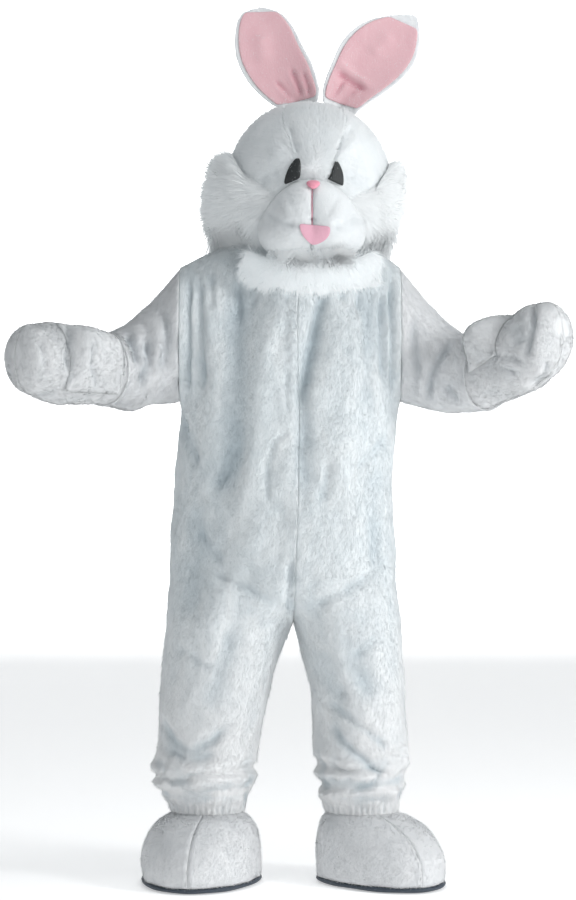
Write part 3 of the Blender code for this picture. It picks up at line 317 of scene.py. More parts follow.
# width and depth of each crease, then its route in x and z
FRONT_CREASES = (
    (0.013, 0.0123, ((0.086, -0.060), (0.058, -0.170), (0.034, -0.290), (0.018, -0.372))),
    (0.008, 0.0045, ((-0.006, -0.262), (-0.009, -0.330), (-0.005, -0.384))),
    (0.011, 0.0101, ((0.219, -0.072), (0.214, -0.180), (0.219, -0.318))),
    (0.009, 0.0072, ((0.165, -0.048), (0.158, -0.145))),
    (0.010, 0.0065, ((0.120, -0.045), (0.118, -0.120))),
    (0.010, 0.0087, ((-0.184, -0.036), (-0.178, -0.135))),
    (0.009, 0.0072, ((-0.125, -0.060), (-0.119, -0.165))),
    (0.008, 0.0040, ((-0.083, -0.060), (-0.086, -0.135))),
    (0.011, 0.0101, ((-0.213, -0.032), (-0.206, -0.180), (-0.200, -0.345))),
    (0.009, 0.0116, ((-0.236, -0.030), (-0.238, -0.180), (-0.244, -0.350))),
    (0.009, 0.0116, ((0.238, -0.040), (0.240, -0.200), (0.244, -0.352))),
    (0.005, 0.0050, ((-0.250, -1.206), (-0.200, -1.198), (-0.150, -1.204))),
    (0.005, 0.0050, ((-0.262, -1.238), (-0.215, -1.246), (-0.160, -1.236))),
    (0.006, 0.0060, ((-0.300, -1.188), (-0.275, -1.225), (-0.268, -1.250))),
    (0.005, 0.0055, ((0.080, -1.176), (0.130, -1.196), (0.185, -1.186), (0.232, -1.206))),
    (0.006, 0.0060, ((0.078, -1.214), (0.112, -1.218), (0.150, -1.208))),
    (0.006, 0.0055, ((0.225, -1.178), (0.190, -1.226), (0.120, -1.250))),
    (0.005, 0.0045, ((0.100, -1.262), (0.160, -1.256), (0.215, -1.266))),
    (0.014, 0.0101, ((-0.262, -0.372), (-0.236, -0.440), (-0.212, -0.500))),
    (0.014, 0.0094, ((-0.130, -0.436), (-0.148, -0.495), (-0.178, -0.550))),
    (0.007, 0.0050, ((0.014, -0.398), (-0.034, -0.436), (-0.053, -0.482), (-0.052, -0.566), (-0.028, -0.596))),
    (0.012, 0.0065, ((0.236, -0.420), (0.190, -0.462), (0.145, -0.505))),
    (0.012, 0.0058, ((0.090, -0.470), (0.075, -0.580))),
    (0.014, 0.0065, ((-0.222, -0.640), (-0.150, -0.720))),
    (0.013, 0.0080, ((-0.020, -0.815), (-0.090, -0.775), (-0.190, -0.735))),
    (0.013, 0.0080, ((0.040, -0.815), (0.110, -0.785), (0.195, -0.740))),
    (0.009, 0.0087, ((0.004, -0.700), (-0.002, -0.780), (0.004, -0.840))),
    (0.012, 0.0101, ((-0.305, -1.076), (-0.272, -1.130), (-0.234, -1.152), (-0.180, -1.128), (-0.135, -1.080))),
    (0.010, 0.0080, ((-0.295, -1.140), (-0.240, -1.172), (-0.160, -1.150))),
    (0.011, 0.0087, ((0.070, -1.030), (0.130, -1.066), (0.180, -1.105), (0.236, -1.150))),
    (0.011, 0.0094, ((0.088, -1.082), (0.120, -1.130), (0.165, -1.165), (0.212, -1.205))),
    (0.012, 0.0058, ((-0.265, -0.905), (-0.175, -0.965))),
    (0.012, 0.0058, ((0.215, -0.880), (0.140, -0.935))),
    (0.026, -0.0110, ((-0.030, -0.105), (-0.068, -0.311), (-0.082, -0.433), (-0.105, -0.543), (-0.143, -0.680))),
    (0.040, 0.0120, ((-0.125, -0.030), (-0.135, -0.250), (-0.125, -0.450), (-0.150, -0.640))),
    (0.024, -0.0080, ((-0.176, -0.030), (-0.172, -0.250), (-0.185, -0.420))),
    (0.034, -0.0090, ((0.110, -0.060), (0.140, -0.260), (0.120, -0.480), (0.130, -0.640))),
    (0.022, 0.0090, ((0.072, -0.110), (0.040, -0.300), (0.026, -0.460), (0.034, -0.600))),
    (0.020, 0.0080, ((0.180, -0.060), (0.184, -0.240), (0.166, -0.400))),
    (0.026, 0.0080, ((0.205, -0.480), (0.196, -0.600), (0.206, -0.760))),
    (0.026, 0.0080, ((-0.226, -0.560), (-0.214, -0.680), (-0.230, -0.860))),
    (0.030, -0.0080, ((-0.060, -0.600), (-0.140, -0.760), (-0.215, -0.940))),
    (0.022, 0.0070, ((-0.130, -0.860), (-0.160, -0.960), (-0.200, -1.060))),
    (0.022, 0.0070, ((0.120, -0.860), (0.150, -0.960), (0.205, -1.040))),
    (0.020, 0.0070, ((0.070, -0.900), (0.090, -0.990), (0.130, -1.050))),
    (0.020, -0.0109, ((-0.020, -0.078), (-0.030, -0.098))),
    (0.026, -0.0060, ((0.050, -0.300), (0.060, -0.370))),
    (0.024, -0.0087, ((0.262, -1.140), (0.252, -1.168))),
    (0.018, -0.0072, ((0.075, -1.250), (0.085, -1.262))),
    (0.020, -0.0072, ((-0.300, -1.215), (-0.280, -1.225))),
)
BACK_CREASES = (
    (0.012, 0.0101, ((-0.070, -0.060), (-0.052, -0.200), (-0.030, -0.350))),
    (0.011, 0.0087, ((0.120, -0.070), (0.100, -0.210), (0.078, -0.340))),
    (0.010, 0.0087, ((-0.206, -0.050), (-0.203, -0.180), (-0.200, -0.330))),
    (0.010, 0.0087, ((0.207, -0.050), (0.205, -0.190), (0.210, -0.335))),
    (0.008, 0.0070, ((-0.252, -0.040), (-0.255, -0.190), (-0.256, -0.350))),
    (0.008, 0.0070, ((0.252, -0.040), (0.255, -0.190), (0.256, -0.350))),
    (0.014, 0.0087, ((-0.210, -0.470), (-0.130, -0.520), (-0.040, -0.548))),
    (0.014, 0.0087, ((0.212, -0.490), (0.140, -0.545), (0.060, -0.566))),
    (0.012, 0.0065, ((-0.160, -0.590), (-0.060, -0.625))),
    (0.013, 0.0101, ((-0.020, -0.815), (-0.100, -0.790), (-0.200, -0.735))),
    (0.013, 0.0101, ((0.040, -0.815), (0.120, -0.780), (0.200, -0.745))),
    (0.009, 0.0101, ((0.006, -0.660), (0.000, -0.760), (0.004, -0.845))),
    (0.013, 0.0087, ((-0.280, -0.975), (-0.200, -1.015), (-0.110, -1.035))),
    (0.013, 0.0087, ((0.075, -0.985), (0.150, -1.030), (0.230, -1.050))),
    (0.011, 0.0087, ((-0.290, -1.085), (-0.220, -1.130), (-0.140, -1.150))),
    (0.011, 0.0087, ((0.095, -1.095), (0.165, -1.140), (0.225, -1.160))),
)
PUCKER_X = 0.004
PUCKER_TOP_Z = -0.112
PUCKER_STEP = 0.0265
PUCKER_TOPS = tuple(PUCKER_TOP_Z - PUCKER_STEP * count for count in range(6))
PUCKERS = tuple((0.009, -0.0065, ((PUCKER_X - 0.004, top), (PUCKER_X + 0.003, top - 0.008))) for top in PUCKER_TOPS)
HEM_Z = -1.300
GATHERS_ROUND = 34


# height, half height and rise of the rings of slack cloth above each ankle
ANKLE_ROLLS = ((-1.206, 0.010, -0.008), (-1.223, 0.012, 0.009), (-1.242, 0.008, -0.008), (-1.259, 0.011, 0.009))


def suit_relief(places, outward):
    """How far the suit's surface moves out at each point, over its solid."""
    x, y, z = places.T
    front = soft((-outward[:, 1] + 0.15) / 0.5)
    back = soft((outward[:, 1] + 0.15) / 0.5)
    depths = np.zeros(len(places))
    depths = pressed(places, depths, FRONT_CREASES + PUCKERS, front)
    depths = pressed(places, depths, BACK_CREASES, back)
    loose = soft((-z - 0.02) / 0.10)
    out = -depths + loose * (rumpled(places, 0.060, 0.0050, 1) + rumpled(places, 0.024, 0.0022, 2))
    for height, tall, rise in ANKLE_ROLLS:
        patchy = 0.5 + 0.9 * rumpled(places, 0.070, 1.0, 3 + 10 * height)
        slope = 0.05 * (np.abs(x) - 0.19)
        out = out - patchy * rise * np.exp(-(((z - height - slope) / tall) ** 2))
    ankle = soft((-1.150 - z) / 0.03)
    out = out + ankle * rumpled(places * np.array((1, 1, 2.4)), 0.050, 0.0075, 6)
    near_hem = np.exp(-(((z - HEM_Z) / 0.030) ** 2))
    round_leg = np.arctan2(outward[:, 0], -outward[:, 1])
    gather = np.sin(GATHERS_ROUND * round_leg + 2.5 * np.sin(3 * round_leg))
    out = out * (1 - 0.6 * near_hem) + 0.0024 * near_hem * gather
    at_hem = soft((z - HEM_Z) / 0.006)
    at_armhole = 1 - soft((np.abs(x) - 0.236) / 0.018) * soft((z + 0.360) / 0.012)
    at_neck = 1 - soft((z + 0.015) / 0.03) * soft((0.135 - np.abs(x - 0.03)) / 0.02)
    return out * at_hem * at_armhole * at_neck


# node, side, face and the width that the panel is cut to
SUIT_PANELS = (
    ("suit_front_right", WEARER_RIGHT, FRONT, 0.375),
    ("suit_front_left", WEARER_LEFT, FRONT, 0.340),
    ("suit_back_right", WEARER_RIGHT, BACK, 0.375),
    ("suit_back_left", WEARER_LEFT, BACK, 0.340),
)


def nap_at(places, lay, swirl, size, seed):
    """The way that the pile lies: its general lay, turned here and there as if brushed."""
    shift = Vector((seed * 5.1, seed * 2.3, seed * 0.7))
    turns = np.array([noise.noise_vector(Vector(place) + shift) for place in places / size])
    return unit(lay(places) + swirl * turns)


def pile(
    piece, count, length, width, lift, lay, outward, material, seed, bends=0, swirl=0.8, where=None, lock=0.0
):
    """Fine pile over the outside of a piece: tapered blades that stand out at their tips.

    bends is how many extra joints a blade has along its length, for long fur that droops.
    where gives the share of full length at each place, and no pile grows where it is 0.
    lock is how far the blades of long fur shade as whole locks, which face the front."""
    random = np.random.default_rng(seed)
    mesh = piece.data
    mesh.calc_loop_triangles()
    corners = np.empty(len(mesh.loop_triangles) * 3, np.int32)
    mesh.loop_triangles.foreach_get("vertices", corners)
    corners = corners.reshape(-1, 3)
    places = points_of(piece)
    normals = np.empty(len(places) * 3)
    mesh.vertices.foreach_get("normal", normals)
    normals = normals.reshape(-1, 3)
    a, b, c = (places[corners[:, i]] for i in range(3))
    facing = np.cross(b - a, c - a)
    area = np.linalg.norm(facing, axis=1)
    share = area
    if outward:
        share = np.where((unit(facing) * outward((a + b + c) / 3)).sum(1) > 0.15, area, 0)
    if where:
        share = share * np.minimum(where((a + b + c) / 3), 1)
    chosen = random.choice(len(corners), count, p=share / share.sum())
    mix = random.dirichlet((1, 1, 1), count)
    root = (places[corners[chosen]] * mix[..., None]).sum(1)
    normal = unit((normals[corners[chosen]] * mix[..., None]).sum(1))
    nap = nap_at(root, lay, swirl, 0.055, seed)
    nap = unit(nap - (nap * normal).sum(1, keepdims=True) * normal)
    lifts = lift * random.uniform(0.6, 1.4, (count, 1))
    way = unit(lifts * normal + nap + random.normal(0, 0.22, (count, 3)))
    across = unit(np.cross(normal, way)) * width / 2
    longs = length * random.uniform(0.65, 1.25, (count, 1))
    if where:
        longs = longs * where(root)[:, None]
    rings = []
    drawn = root - 0.0006 * normal
    for step in range(bends + 1):
        thin = 1 - 0.55 * step / (bends + 1)
        rings += [drawn - across * thin, drawn + across * thin]
        turned = unit(way * (1 - 0.35 * step / (bends + 1)) + nap * 0.35 * step / (bends + 1))
        drawn = drawn + turned * longs / (bends + 1)
    rings.append(drawn)
    blade = np.stack(rings, axis=1)
    per_blade = blade.shape[1]
    faces = []
    for step in range(bends):
        low = 2 * step
        faces += [(low, low + 3, low + 1), (low, low + 2, low + 3)]
    faces.append((per_blade - 3, per_blade - 1, per_blade - 2))
    triangles = (np.array(faces)[None] + per_blade * np.arange(count)[:, None, None]).reshape(-1, 3)
    points = blade.reshape(-1, 3)
    made = bpy.data.meshes.new(f"pile_{piece.name}_{seed}")
    made.vertices.add(len(points))
    made.vertices.foreach_set("co", points.ravel())
    made.loops.add(triangles.size)
    made.loops.foreach_set("vertex_index", triangles.ravel().astype(np.int32))
    made.polygons.add(len(triangles))
    made.polygons.foreach_set("loop_start", np.arange(0, triangles.size, 3, dtype=np.int32))
    made.update(calc_edges=True)
    made.shade_smooth()
    blade_normal = unit(normal - (normal * way).sum(1, keepdims=True) * way)
    shading = 0.78 * normal + 0.22 * blade_normal + random.normal(0, 0.07, (count, 3))
    shading = unit(shading + lock * soft(0.6 - normal[:, 1:2]) * np.array((0.1, -0.9, 0.45)))
    made.normals_split_custom_set_from_vertices(np.repeat(shading, per_blade, axis=0))
    # The blades take the cloth's painted crease shade at their roots.
    if "fold_shade" in mesh.attributes:
        fold_shade_share = np.empty(len(places))
        mesh.attributes["fold_shade"].data.foreach_get("value", fold_shade_share)
        kept = made.attributes.new("fold_shade", "FLOAT", "POINT")
        fold_shade_at_root = (fold_shade_share[corners[chosen]] * mix).sum(1).astype(np.float32)
        kept.data.foreach_set("value", np.repeat(fold_shade_at_root, per_blade))
    fur = bpy.data.objects.new(made.name, made)
    bpy.context.scene.collection.objects.link(fur)
    finish_piece(fur, material)
    return fur


def down(places):
    return np.broadcast_to(np.array((0.0, 0.0, -1.0)), places.shape)


for node, side, way, cut_width in SUIT_PANELS:
    panel = cloth_on(node, PLUSH_WALL, 3 if way == FRONT else 2)
    rest = points_of(panel)
    out = suit_outward(rest)
    relief = suit_relief(rest, out)
    move_points(panel, rest + relief[:, None] * out)
    paint_fold_shade(panel, -relief)
    finish_piece(panel, SUIT_PLUSH)
    amount = 43000 if way == FRONT else 19000
    seed = 11 + side + 3 * way
    fur = pile(panel, amount, 0.0105, 0.0017, 0.40, down, suit_outward, SUIT_PLUSH, seed, swirl=0.45)

# Sleeves
# One tube of the same plush for each arm, sewn round the armhole. The arm is held out and
# forward, so the cloth drops in slack folds below it and bunches at the wrist.
ARM_LINES = {
    WEARER_RIGHT: np.array(
        ((-0.257, 0.0, -0.188), (-0.315, -0.010, -0.226), (-0.372, -0.038, -0.260), (-0.413, -0.070, -0.270),
         (-0.428, -0.085, -0.271), (-0.468, -0.125, -0.267), (-0.532, -0.188, -0.259), (-0.586, -0.240, -0.252),
         (-0.620, -0.280, -0.248))
    ),
    WEARER_LEFT: np.array(
        ((0.257, 0.0, -0.188), (0.320, -0.010, -0.236), (0.384, -0.040, -0.275), (0.438, -0.078, -0.286),
         (0.454, -0.094, -0.284), (0.491, -0.133, -0.264), (0.541, -0.190, -0.229), (0.580, -0.233, -0.208),
         (0.616, -0.272, -0.196))
    ),
}


def arm_frame(places, side):
    """How far along the arm's middle line each point is, the way out from it and the way ahead."""
    line = ARM_LINES[side]
    best = np.full(len(places), np.inf)
    out = np.zeros(places.shape)
    along = np.zeros(len(places))
    ahead = np.zeros(places.shape)
    for index, (start, stop) in enumerate(zip(line, line[1:])):
        run = stop - start
        share = np.clip((places - start) @ run / (run @ run), 0, 1)
        apart = places - start - share[:, None] * run
        distance = np.linalg.norm(apart, axis=1)
        closer = distance < best
        best = np.where(closer, distance, best)
        out[closer] = apart[closer]
        along = np.where(closer, index + share, along)
        ahead[closer] = run
    return along, unit(out), unit(ahead)


SLEEVE_CREASES = {
    WEARER_RIGHT: (
        (0.009, 0.0090, ((-0.405, -0.205), (-0.412, -0.235), (-0.402, -0.262))),
        (0.010, 0.0112, ((-0.380, -0.180), (-0.358, -0.220), (-0.347, -0.262))),
        (0.010, 0.0120, ((-0.333, -0.190), (-0.322, -0.255), (-0.344, -0.318))),
        (0.012, 0.0090, ((-0.290, -0.120), (-0.283, -0.200), (-0.295, -0.285))),
        (0.008, 0.0075, ((-0.375, -0.300), (-0.398, -0.340))),
        (0.009, -0.0060, ((-0.392, -0.200), (-0.385, -0.250))),
        (0.007, 0.0067, ((-0.432, -0.205), (-0.437, -0.262), (-0.428, -0.315))),
    ),
    WEARER_LEFT: (
        (0.010, 0.0128, ((0.376, -0.196), (0.345, -0.240), (0.318, -0.290), (0.314, -0.352))),
        (0.009, 0.0105, ((0.398, -0.210), (0.420, -0.255), (0.446, -0.300))),
        (0.010, 0.0090, ((0.350, -0.310), (0.385, -0.345))),
        (0.011, 0.0090, ((0.290, -0.110), (0.282, -0.190), (0.292, -0.300))),
        (0.007, 0.0075, ((0.438, -0.212), (0.466, -0.236), (0.492, -0.258))),
        (0.007, 0.0067, ((0.452, -0.244), (0.470, -0.272), (0.500, -0.284))),
    ),
}


def sleeve_relief(places, side):
    """How far the sleeve's surface moves out at each point, and the way out there."""
    along, out, ahead = arm_frame(places, side)
    front = soft((-out[:, 1] + 0.15) / 0.5)
    behind = soft((out[:, 1] + 0.15) / 0.5)
    depths = pressed(places, np.zeros(len(places)), SLEEVE_CREASES[side], front)
    mirrored = [(w, d, [(x * 0.985, z + 0.012) for x, z in r]) for w, d, r in SLEEVE_CREASES[side]]
    depths = pressed(places, depths, mirrored, 0.9 * behind)
    ends = soft(along / 0.35) * soft((4.02 - along) / 0.30)
    moved = rumpled(places, 0.045, 0.0045, 4 + side) + rumpled(places, 0.020, 0.0018, 7) - depths
    return moved * ends, out


def down_the_arm(side):
    return lambda places: arm_frame(places, side)[2] + np.array((0, 0, -0.5))


def out_of_arm(side):
    return lambda places: arm_frame(places, side)[1]


ARM_PLUSH = plush_material("arm plush", (0.85, 0.855, 0.86), (0.70, 0.72, 0.735), patch=0.045, contrast=0.6)
for side, hand in ((WEARER_RIGHT, "right"), (WEARER_LEFT, "left")):
    sleeve = cloth_on(f"sleeve_{hand}", PLUSH_WALL, 2)
    rest = points_of(sleeve)
    relief, out = sleeve_relief(rest, side)
    move_points(sleeve, rest + relief[:, None] * out)
    paint_fold_shade(sleeve, -relief)
    finish_piece(sleeve, ARM_PLUSH)
    fur = pile(
        sleeve, 23000, 0.0100, 0.0017, 0.40, down_the_arm(side), out_of_arm(side), ARM_PLUSH,
        31 + side, swirl=0.5,
    )

# Mitts
# Two halves of plush sewn edge to edge round the hand, with a stuffed thumb on the palm and
# an elastic at the wrist that tucks into the sleeve.
MITT_CREASES = {
    WEARER_RIGHT: (
        (0.0055, 0.0090, ((-0.508, -0.172), (-0.494, -0.196), (-0.503, -0.240), (-0.498, -0.280))),
        (0.0050, 0.0067, ((-0.602, -0.330), (-0.575, -0.338), (-0.540, -0.330), (-0.500, -0.300), (-0.470, -0.276))),
        (0.0080, 0.0045, ((-0.560, -0.205), (-0.548, -0.270))),
        (0.0060, 0.0060, ((-0.440, -0.200), (-0.446, -0.260), (-0.438, -0.320))),
    ),
    WEARER_LEFT: (
        (0.0070, 0.0110, ((0.550, -0.125), (0.541, -0.180), (0.533, -0.226), (0.532, -0.262))),
        (0.0060, 0.0070, ((0.550, -0.308), (0.576, -0.290), (0.578, -0.258))),
        (0.0060, 0.0080, ((0.440, -0.222), (0.468, -0.246), (0.500, -0.250), (0.530, -0.266))),
        (0.0055, 0.0060, ((0.452, -0.254), (0.482, -0.276), (0.516, -0.282))),
        (0.0200, 0.0080, ((0.505, -0.170), (0.515, -0.225))),
    ),
}
MITT_PLUSH = plush_material("mitt plush", (0.77, 0.775, 0.78), (0.64, 0.66, 0.67), patch=0.045, contrast=0.6)
for side, hand in ((WEARER_RIGHT, "right"), (WEARER_LEFT, "left")):
    for part, amount in (("back", 8000), ("palm", 9000), ("thumb", 3500)):
        mitt = cloth_on(f"mitt_{hand}_{part}", PLUSH_WALL, 2)
        rest = points_of(mitt)
        along, out, ahead = arm_frame(rest, side)
        front = soft((-out[:, 1] + 0.2) / 0.5)
        depths = pressed(rest, np.zeros(len(rest)), MITT_CREASES[side], front)
        loose = soft((along - 4.0) / 0.3)
        relief = loose * (rumpled(rest, 0.035, 0.0035, 9 + side) - depths)
        move_points(mitt, rest + relief[:, None] * out)
        paint_fold_shade(mitt, -relief)
        finish_piece(mitt, MITT_PLUSH)
        fur = pile(
            mitt, amount, 0.0080, 0.0016, 0.45, down_the_arm(side), out_of_arm(side), MITT_PLUSH,
            51 + side, swirl=0.5,
        )

# Head shell
# Foam lined panels of short plush round the wearer's head: a gore over the forehead, two
# sides and a back, sewn to a dome that is open at the neck.
HEAD_WALL = 0.009
HEAD_MIDDLE = np.array((0.0445, 0.0, 0.180))
HEAD_AXES = np.array((0.190, 0.190, 0.1755))
HEAD_PLUSH = plush_material("head plush", (0.87, 0.89, 0.895), (0.77, 0.805, 0.82), patch=0.045, contrast=0.6)


def head_outward(places):
    return unit((places - HEAD_MIDDLE) / HEAD_AXES**2)


def from_face(places):
    """The lay of the head's pile: back and down from the middle of the face."""
    away = (places - np.array((0.0500, -0.19, 0.185))) * np.array((1, 0.6, 1))
    return unit(unit(away) + np.array((0, 0.3, -0.35)))


HEAD_CREASES = (
    (0.0060, 0.0055, ((0.000, 0.290), (0.008, 0.255), (0.018, 0.214))),
    (0.0060, 0.0055, ((0.146, 0.294), (0.122, 0.255), (0.100, 0.214))),
    (0.0140, 0.0070, ((-0.072, 0.160), (-0.048, 0.166), (-0.020, 0.184))),
    (0.0140, 0.0070, ((0.175, 0.150), (0.150, 0.160), (0.126, 0.178))),
    (0.0220, -0.0060, ((-0.014, 0.240), (-0.036, 0.220))),
    (0.0220, -0.0060, ((0.122, 0.240), (0.144, 0.220))),
)


def cheek_share(places):
    """1 where the cheeks' long fur is sewn in, beside and below the muzzle, and 0 on the face."""
    x, y, z = places.T
    aside = np.abs(x - 0.047)
    top = np.where(x < 0.047, 0.145 + 0.62 * (aside - 0.087), 0.138 + 0.42 * (aside - 0.107))
    return soft((aside - 0.060) / 0.05) * soft((top - z) / 0.025)


def cheek_lay(places):
    """Back from the muzzle and out to the sides, then down towards the shoulders."""
    side = np.sign(places[:, 0] - 0.047)
    low = soft((0.19 - places[:, 2]) / 0.16)
    return unit(np.stack((side * (1.0 - 0.45 * low), -0.25 + 0.1 * low, 0.20 - 1.05 * low), axis=1))


def back_rim(places):
    """1 along the lower rim of the head's back, where a fringe covers the neck, and 0 above it."""
    return soft((0.068 - places[:, 2]) / 0.02)


def long_fur(name, painted_glow):
    """Long white fur. Light passes through its loose hairs, and a faint painted glow stands in for the light that
    scatters inside it.
    """
    material = plush_material(
        name, (0.95, 0.955, 0.955), (0.86, 0.88, 0.885), patch=0.020, contrast=0.7, sheen=0.35
    )
    nodes, links = material.node_tree.nodes, material.node_tree.links
    nodes["Principled BSDF"].inputs["Emission Color"].default_value = (0.90, 0.96, 1.0, 1)
    nodes["Principled BSDF"].inputs["Emission Strength"].default_value = painted_glow
    through = nodes.new("ShaderNodeBsdfTranslucent")
    through.inputs["Color"].default_value = (0.93, 0.94, 0.94, 1)
    both = nodes.new("ShaderNodeMixShader")
    both.inputs["Fac"].default_value = 0.4
    links.new(nodes["Principled BSDF"].outputs["BSDF"], both.inputs[1])
    links.new(through.outputs["BSDF"], both.inputs[2])
    links.new(both.outputs["Shader"], nodes["Material Output"].inputs["Surface"])
    return material


# Both furs glow with painted light; the chin fur glows more, to paint light into the shade under the muzzle.
CHEEK_FUR = long_fur("cheek fur", 0.07)
CHIN_FUR = long_fur("chin fur", 0.15)
head_parts = (("head_forehead", 14000), ("head_side_right", 10000), ("head_side_left", 10000), ("head_back", 11000))
for node, amount in head_parts:
    panel = cloth_on(node, HEAD_WALL, 2)
    rest = points_of(panel)
    out = head_outward(rest)
    front = soft((-out[:, 1] + 0.1) / 0.5)
    depths = pressed(rest, np.zeros(len(rest)), HEAD_CREASES, front)
    relief = rumpled(rest, 0.070, 0.0030, 12) - depths
    move_points(panel, rest + relief[:, None] * out)
    paint_fold_shade(panel, 0.7 * depths)
    finish_piece(panel, HEAD_PLUSH)
    pile(panel, amount, 0.0110, 0.0016, 0.5, from_face, head_outward, HEAD_PLUSH, 71, swirl=0.5)
    if "side" in node:
        pile(
            panel, 13000, 0.054, 0.0026, 0.62, cheek_lay, head_outward, CHEEK_FUR, 75,
            bends=1, swirl=0.35, where=cheek_share, lock=0.7,
        )
    if node == "head_back":
        pile(
            panel, 3000, 0.060, 0.0028, 0.25, down, head_outward, CHEEK_FUR, 77,
            bends=1, swirl=0.35, where=back_rim,
        )

# Cheek and chin fur
# Long white fur, sewn on in two wings beside the face and a bib below the chin. It is
# brushed out and down, and its locks end in points.


def wing_lay(side):
    def lay(places):
        low = soft((0.20 - places[:, 2]) / 0.18)
        ahead = np.stack((side * (1.0 - 0.35 * low), 0.10 + 0 * low, 0.25 - 1.05 * low), axis=1)
        return unit(ahead)

    return lay


def wing_outward(places):
    return unit((places - HEAD_MIDDLE) * np.array((1, 1, 0.6)))


def under_cheek(places):
    """1 on the lowest part of a wing, where its longest locks hang over the shoulder, and 0 above."""
    return soft((0.110 - places[:, 2]) / 0.06)


def drop_lay(side):
    """Down and forward, and a little in under the chin."""
    return lambda places: np.broadcast_to(unit(np.array((-side * 0.55, -0.35, -1.0))), places.shape)


for side, hand in ((WEARER_RIGHT, "right"), (WEARER_LEFT, "left")):
    wing = cloth_on(f"cheek_ruff_{hand}", 0.002, 2)
    finish_piece(wing, CHEEK_FUR)
    pile(
        wing, 11500, 0.038, 0.0027, 0.36, wing_lay(side), wing_outward, CHEEK_FUR, 91 + side,
        bends=1, swirl=0.45, lock=0.6,
    )
    pile(
        wing, 6000, 0.084, 0.0030, 0.35, drop_lay(side), wing_outward, CHEEK_FUR, 97 + side,
        bends=1, swirl=0.45, where=under_cheek, lock=1.0,
    )


def bib_lay(places):
    middle = places[:, 0] - 0.05
    return unit(np.stack((middle * 7.0, -0.25 + 0 * middle, -1.0 + 0 * middle), axis=1))


def bib_outward(places):
    return np.broadcast_to(unit(np.array((0.0, -1.0, 0.15))), places.shape)


bib = cloth_on("chin_ruff", 0.002, 2)
finish_piece(bib, CHIN_FUR)
pile(bib, 12000, 0.038, 0.0025, 0.45, bib_lay, bib_outward, CHIN_FUR, 95, bends=1, swirl=0.6, lock=0.9)

# Muzzle
# Two stuffed halves of short, smooth plush, sewn together down the middle and onto the face.
# A pink thread covers the seam from the nose to the mouth.
MUZZLE_PLUSH = plush_material(
    "muzzle plush", (0.84, 0.855, 0.86), (0.74, 0.775, 0.79), patch=0.030, contrast=0.5, bump=0.0008
)


def face_outward(places):
    return unit((places - np.array((0.0500, -0.02, 0.068))) * np.array((1, 1.3, 1)))


def muzzle_lay(places):
    return unit((places - np.array((0.0500, -0.22, 0.105))) * np.array((1, 0.5, 1)) + np.array((0, 0.02, -0.03)))


# the soft valleys between the upper lip and the jaw, and the fullness of the lip above them
MUZZLE_CREASES = (
    (0.0110, 0.0085, ((0.018, 0.052), (-0.012, 0.056), (-0.040, 0.070), (-0.062, 0.088))),
    (0.0110, 0.0085, ((0.092, 0.046), (0.118, 0.052), (0.142, 0.066), (0.160, 0.084))),
    (0.0280, -0.0050, ((0.000, 0.100), (-0.020, 0.092))),
    (0.0280, -0.0050, ((0.100, 0.098), (0.120, 0.088))),
    (0.0120, 0.0050, ((0.028, 0.006), (0.055, -0.002), (0.082, 0.005))),
)


def under_chin(places):
    """1 along the muzzle's lower edge, where the beard starts, and 0 above it."""
    return soft((0.006 - places[:, 2]) / 0.014)


def beard_lay(places):
    middle = places[:, 0] - 0.05
    over_seam = 0.5 * np.sign(middle) * np.exp(-((middle / 0.020) ** 2))
    return unit(np.stack((middle * 4.0 - over_seam, -0.15 + 0 * middle, -1.0 + 0 * middle), axis=1))


def thread(name, spots, thick, material):
    """A thread sewn along a line of places on the muzzle."""
    line = bpy.data.curves.new(name, "CURVE")
    line.dimensions = "3D"
    line.bevel_depth = thick
    line.bevel_resolution = 2
    line.use_fill_caps = True
    run = line.splines.new("POLY")
    run.points.add(len(spots) - 1)
    for point, spot in zip(run.points, spots):
        point.co = (*spot, 1)
    made = bpy.data.objects.new(name, line)
    bpy.context.scene.collection.objects.link(made)
    bpy.ops.object.select_all(action="DESELECT")
    made.select_set(True)
    bpy.context.view_layer.objects.active = made
    bpy.ops.object.convert(target="MESH")
    made.data.shade_smooth()
    return finish_piece(made, material)


muzzle_parts = []
for side, hand in ((WEARER_RIGHT, "right"), (WEARER_LEFT, "left")):
    half = cloth_on(f"muzzle_{hand}", 0.0001, 2)
    rest = points_of(half)
    out = face_outward(rest)
    held = soft((0.150 - rest[:, 1] - 0.286) / 0.012) * soft(np.abs(rest[:, 0] - 0.050) / 0.008)
    depths = pressed(rest, np.zeros(len(rest)), MUZZLE_CREASES, held)
    move_points(half, rest - depths[:, None] * out)
    paint_fold_shade(half, 0.3 * depths)
    finish_piece(half, MUZZLE_PLUSH)
    pile(half, 8000, 0.0050, 0.0013, 0.6, muzzle_lay, face_outward, MUZZLE_PLUSH, 101 + side, swirl=0.4)
    pile(
        half, 6500, 0.052, 0.0027, 0.30, beard_lay, face_outward, CHIN_FUR, 105 + side,
        bends=1, swirl=0.35, where=under_chin, lock=1.6,
    )
    muzzle_parts.append(half)


def on_the_seam(x, heights):
    """The foremost places of the muzzle beside its middle seam, at each height."""
    spots = []
    for z in heights:
        found = []
        for half in muzzle_parts:
            tree = BVHTree.FromPolygons([v.co for v in half.data.vertices], [p.vertices for p in half.data.polygons])
            for beside in (-0.0022, 0.0022):
                hit = tree.ray_cast(Vector((x + beside, -1, z)), Vector((0, 1, 0)))[0]
                if hit:
                    found.append(hit.y)
        spots.append((x, min(found) + 0.0004, z))
    return spots


SEAM_X = 0.050
PINK_THREAD = plush_material(
    "pink thread", (0.84, 0.47, 0.55), (0.76, 0.38, 0.46), patch=0.004, contrast=0.6, sheen=0.2, bump=0.0003
)
thread("lip_thread", on_the_seam(SEAM_X, np.linspace(0.139, 0.048, 16)), 0.0017, PINK_THREAD)
thread("chin_thread", on_the_seam(SEAM_X, np.linspace(0.012, -0.010, 6)), 0.0012, MUZZLE_PLUSH)

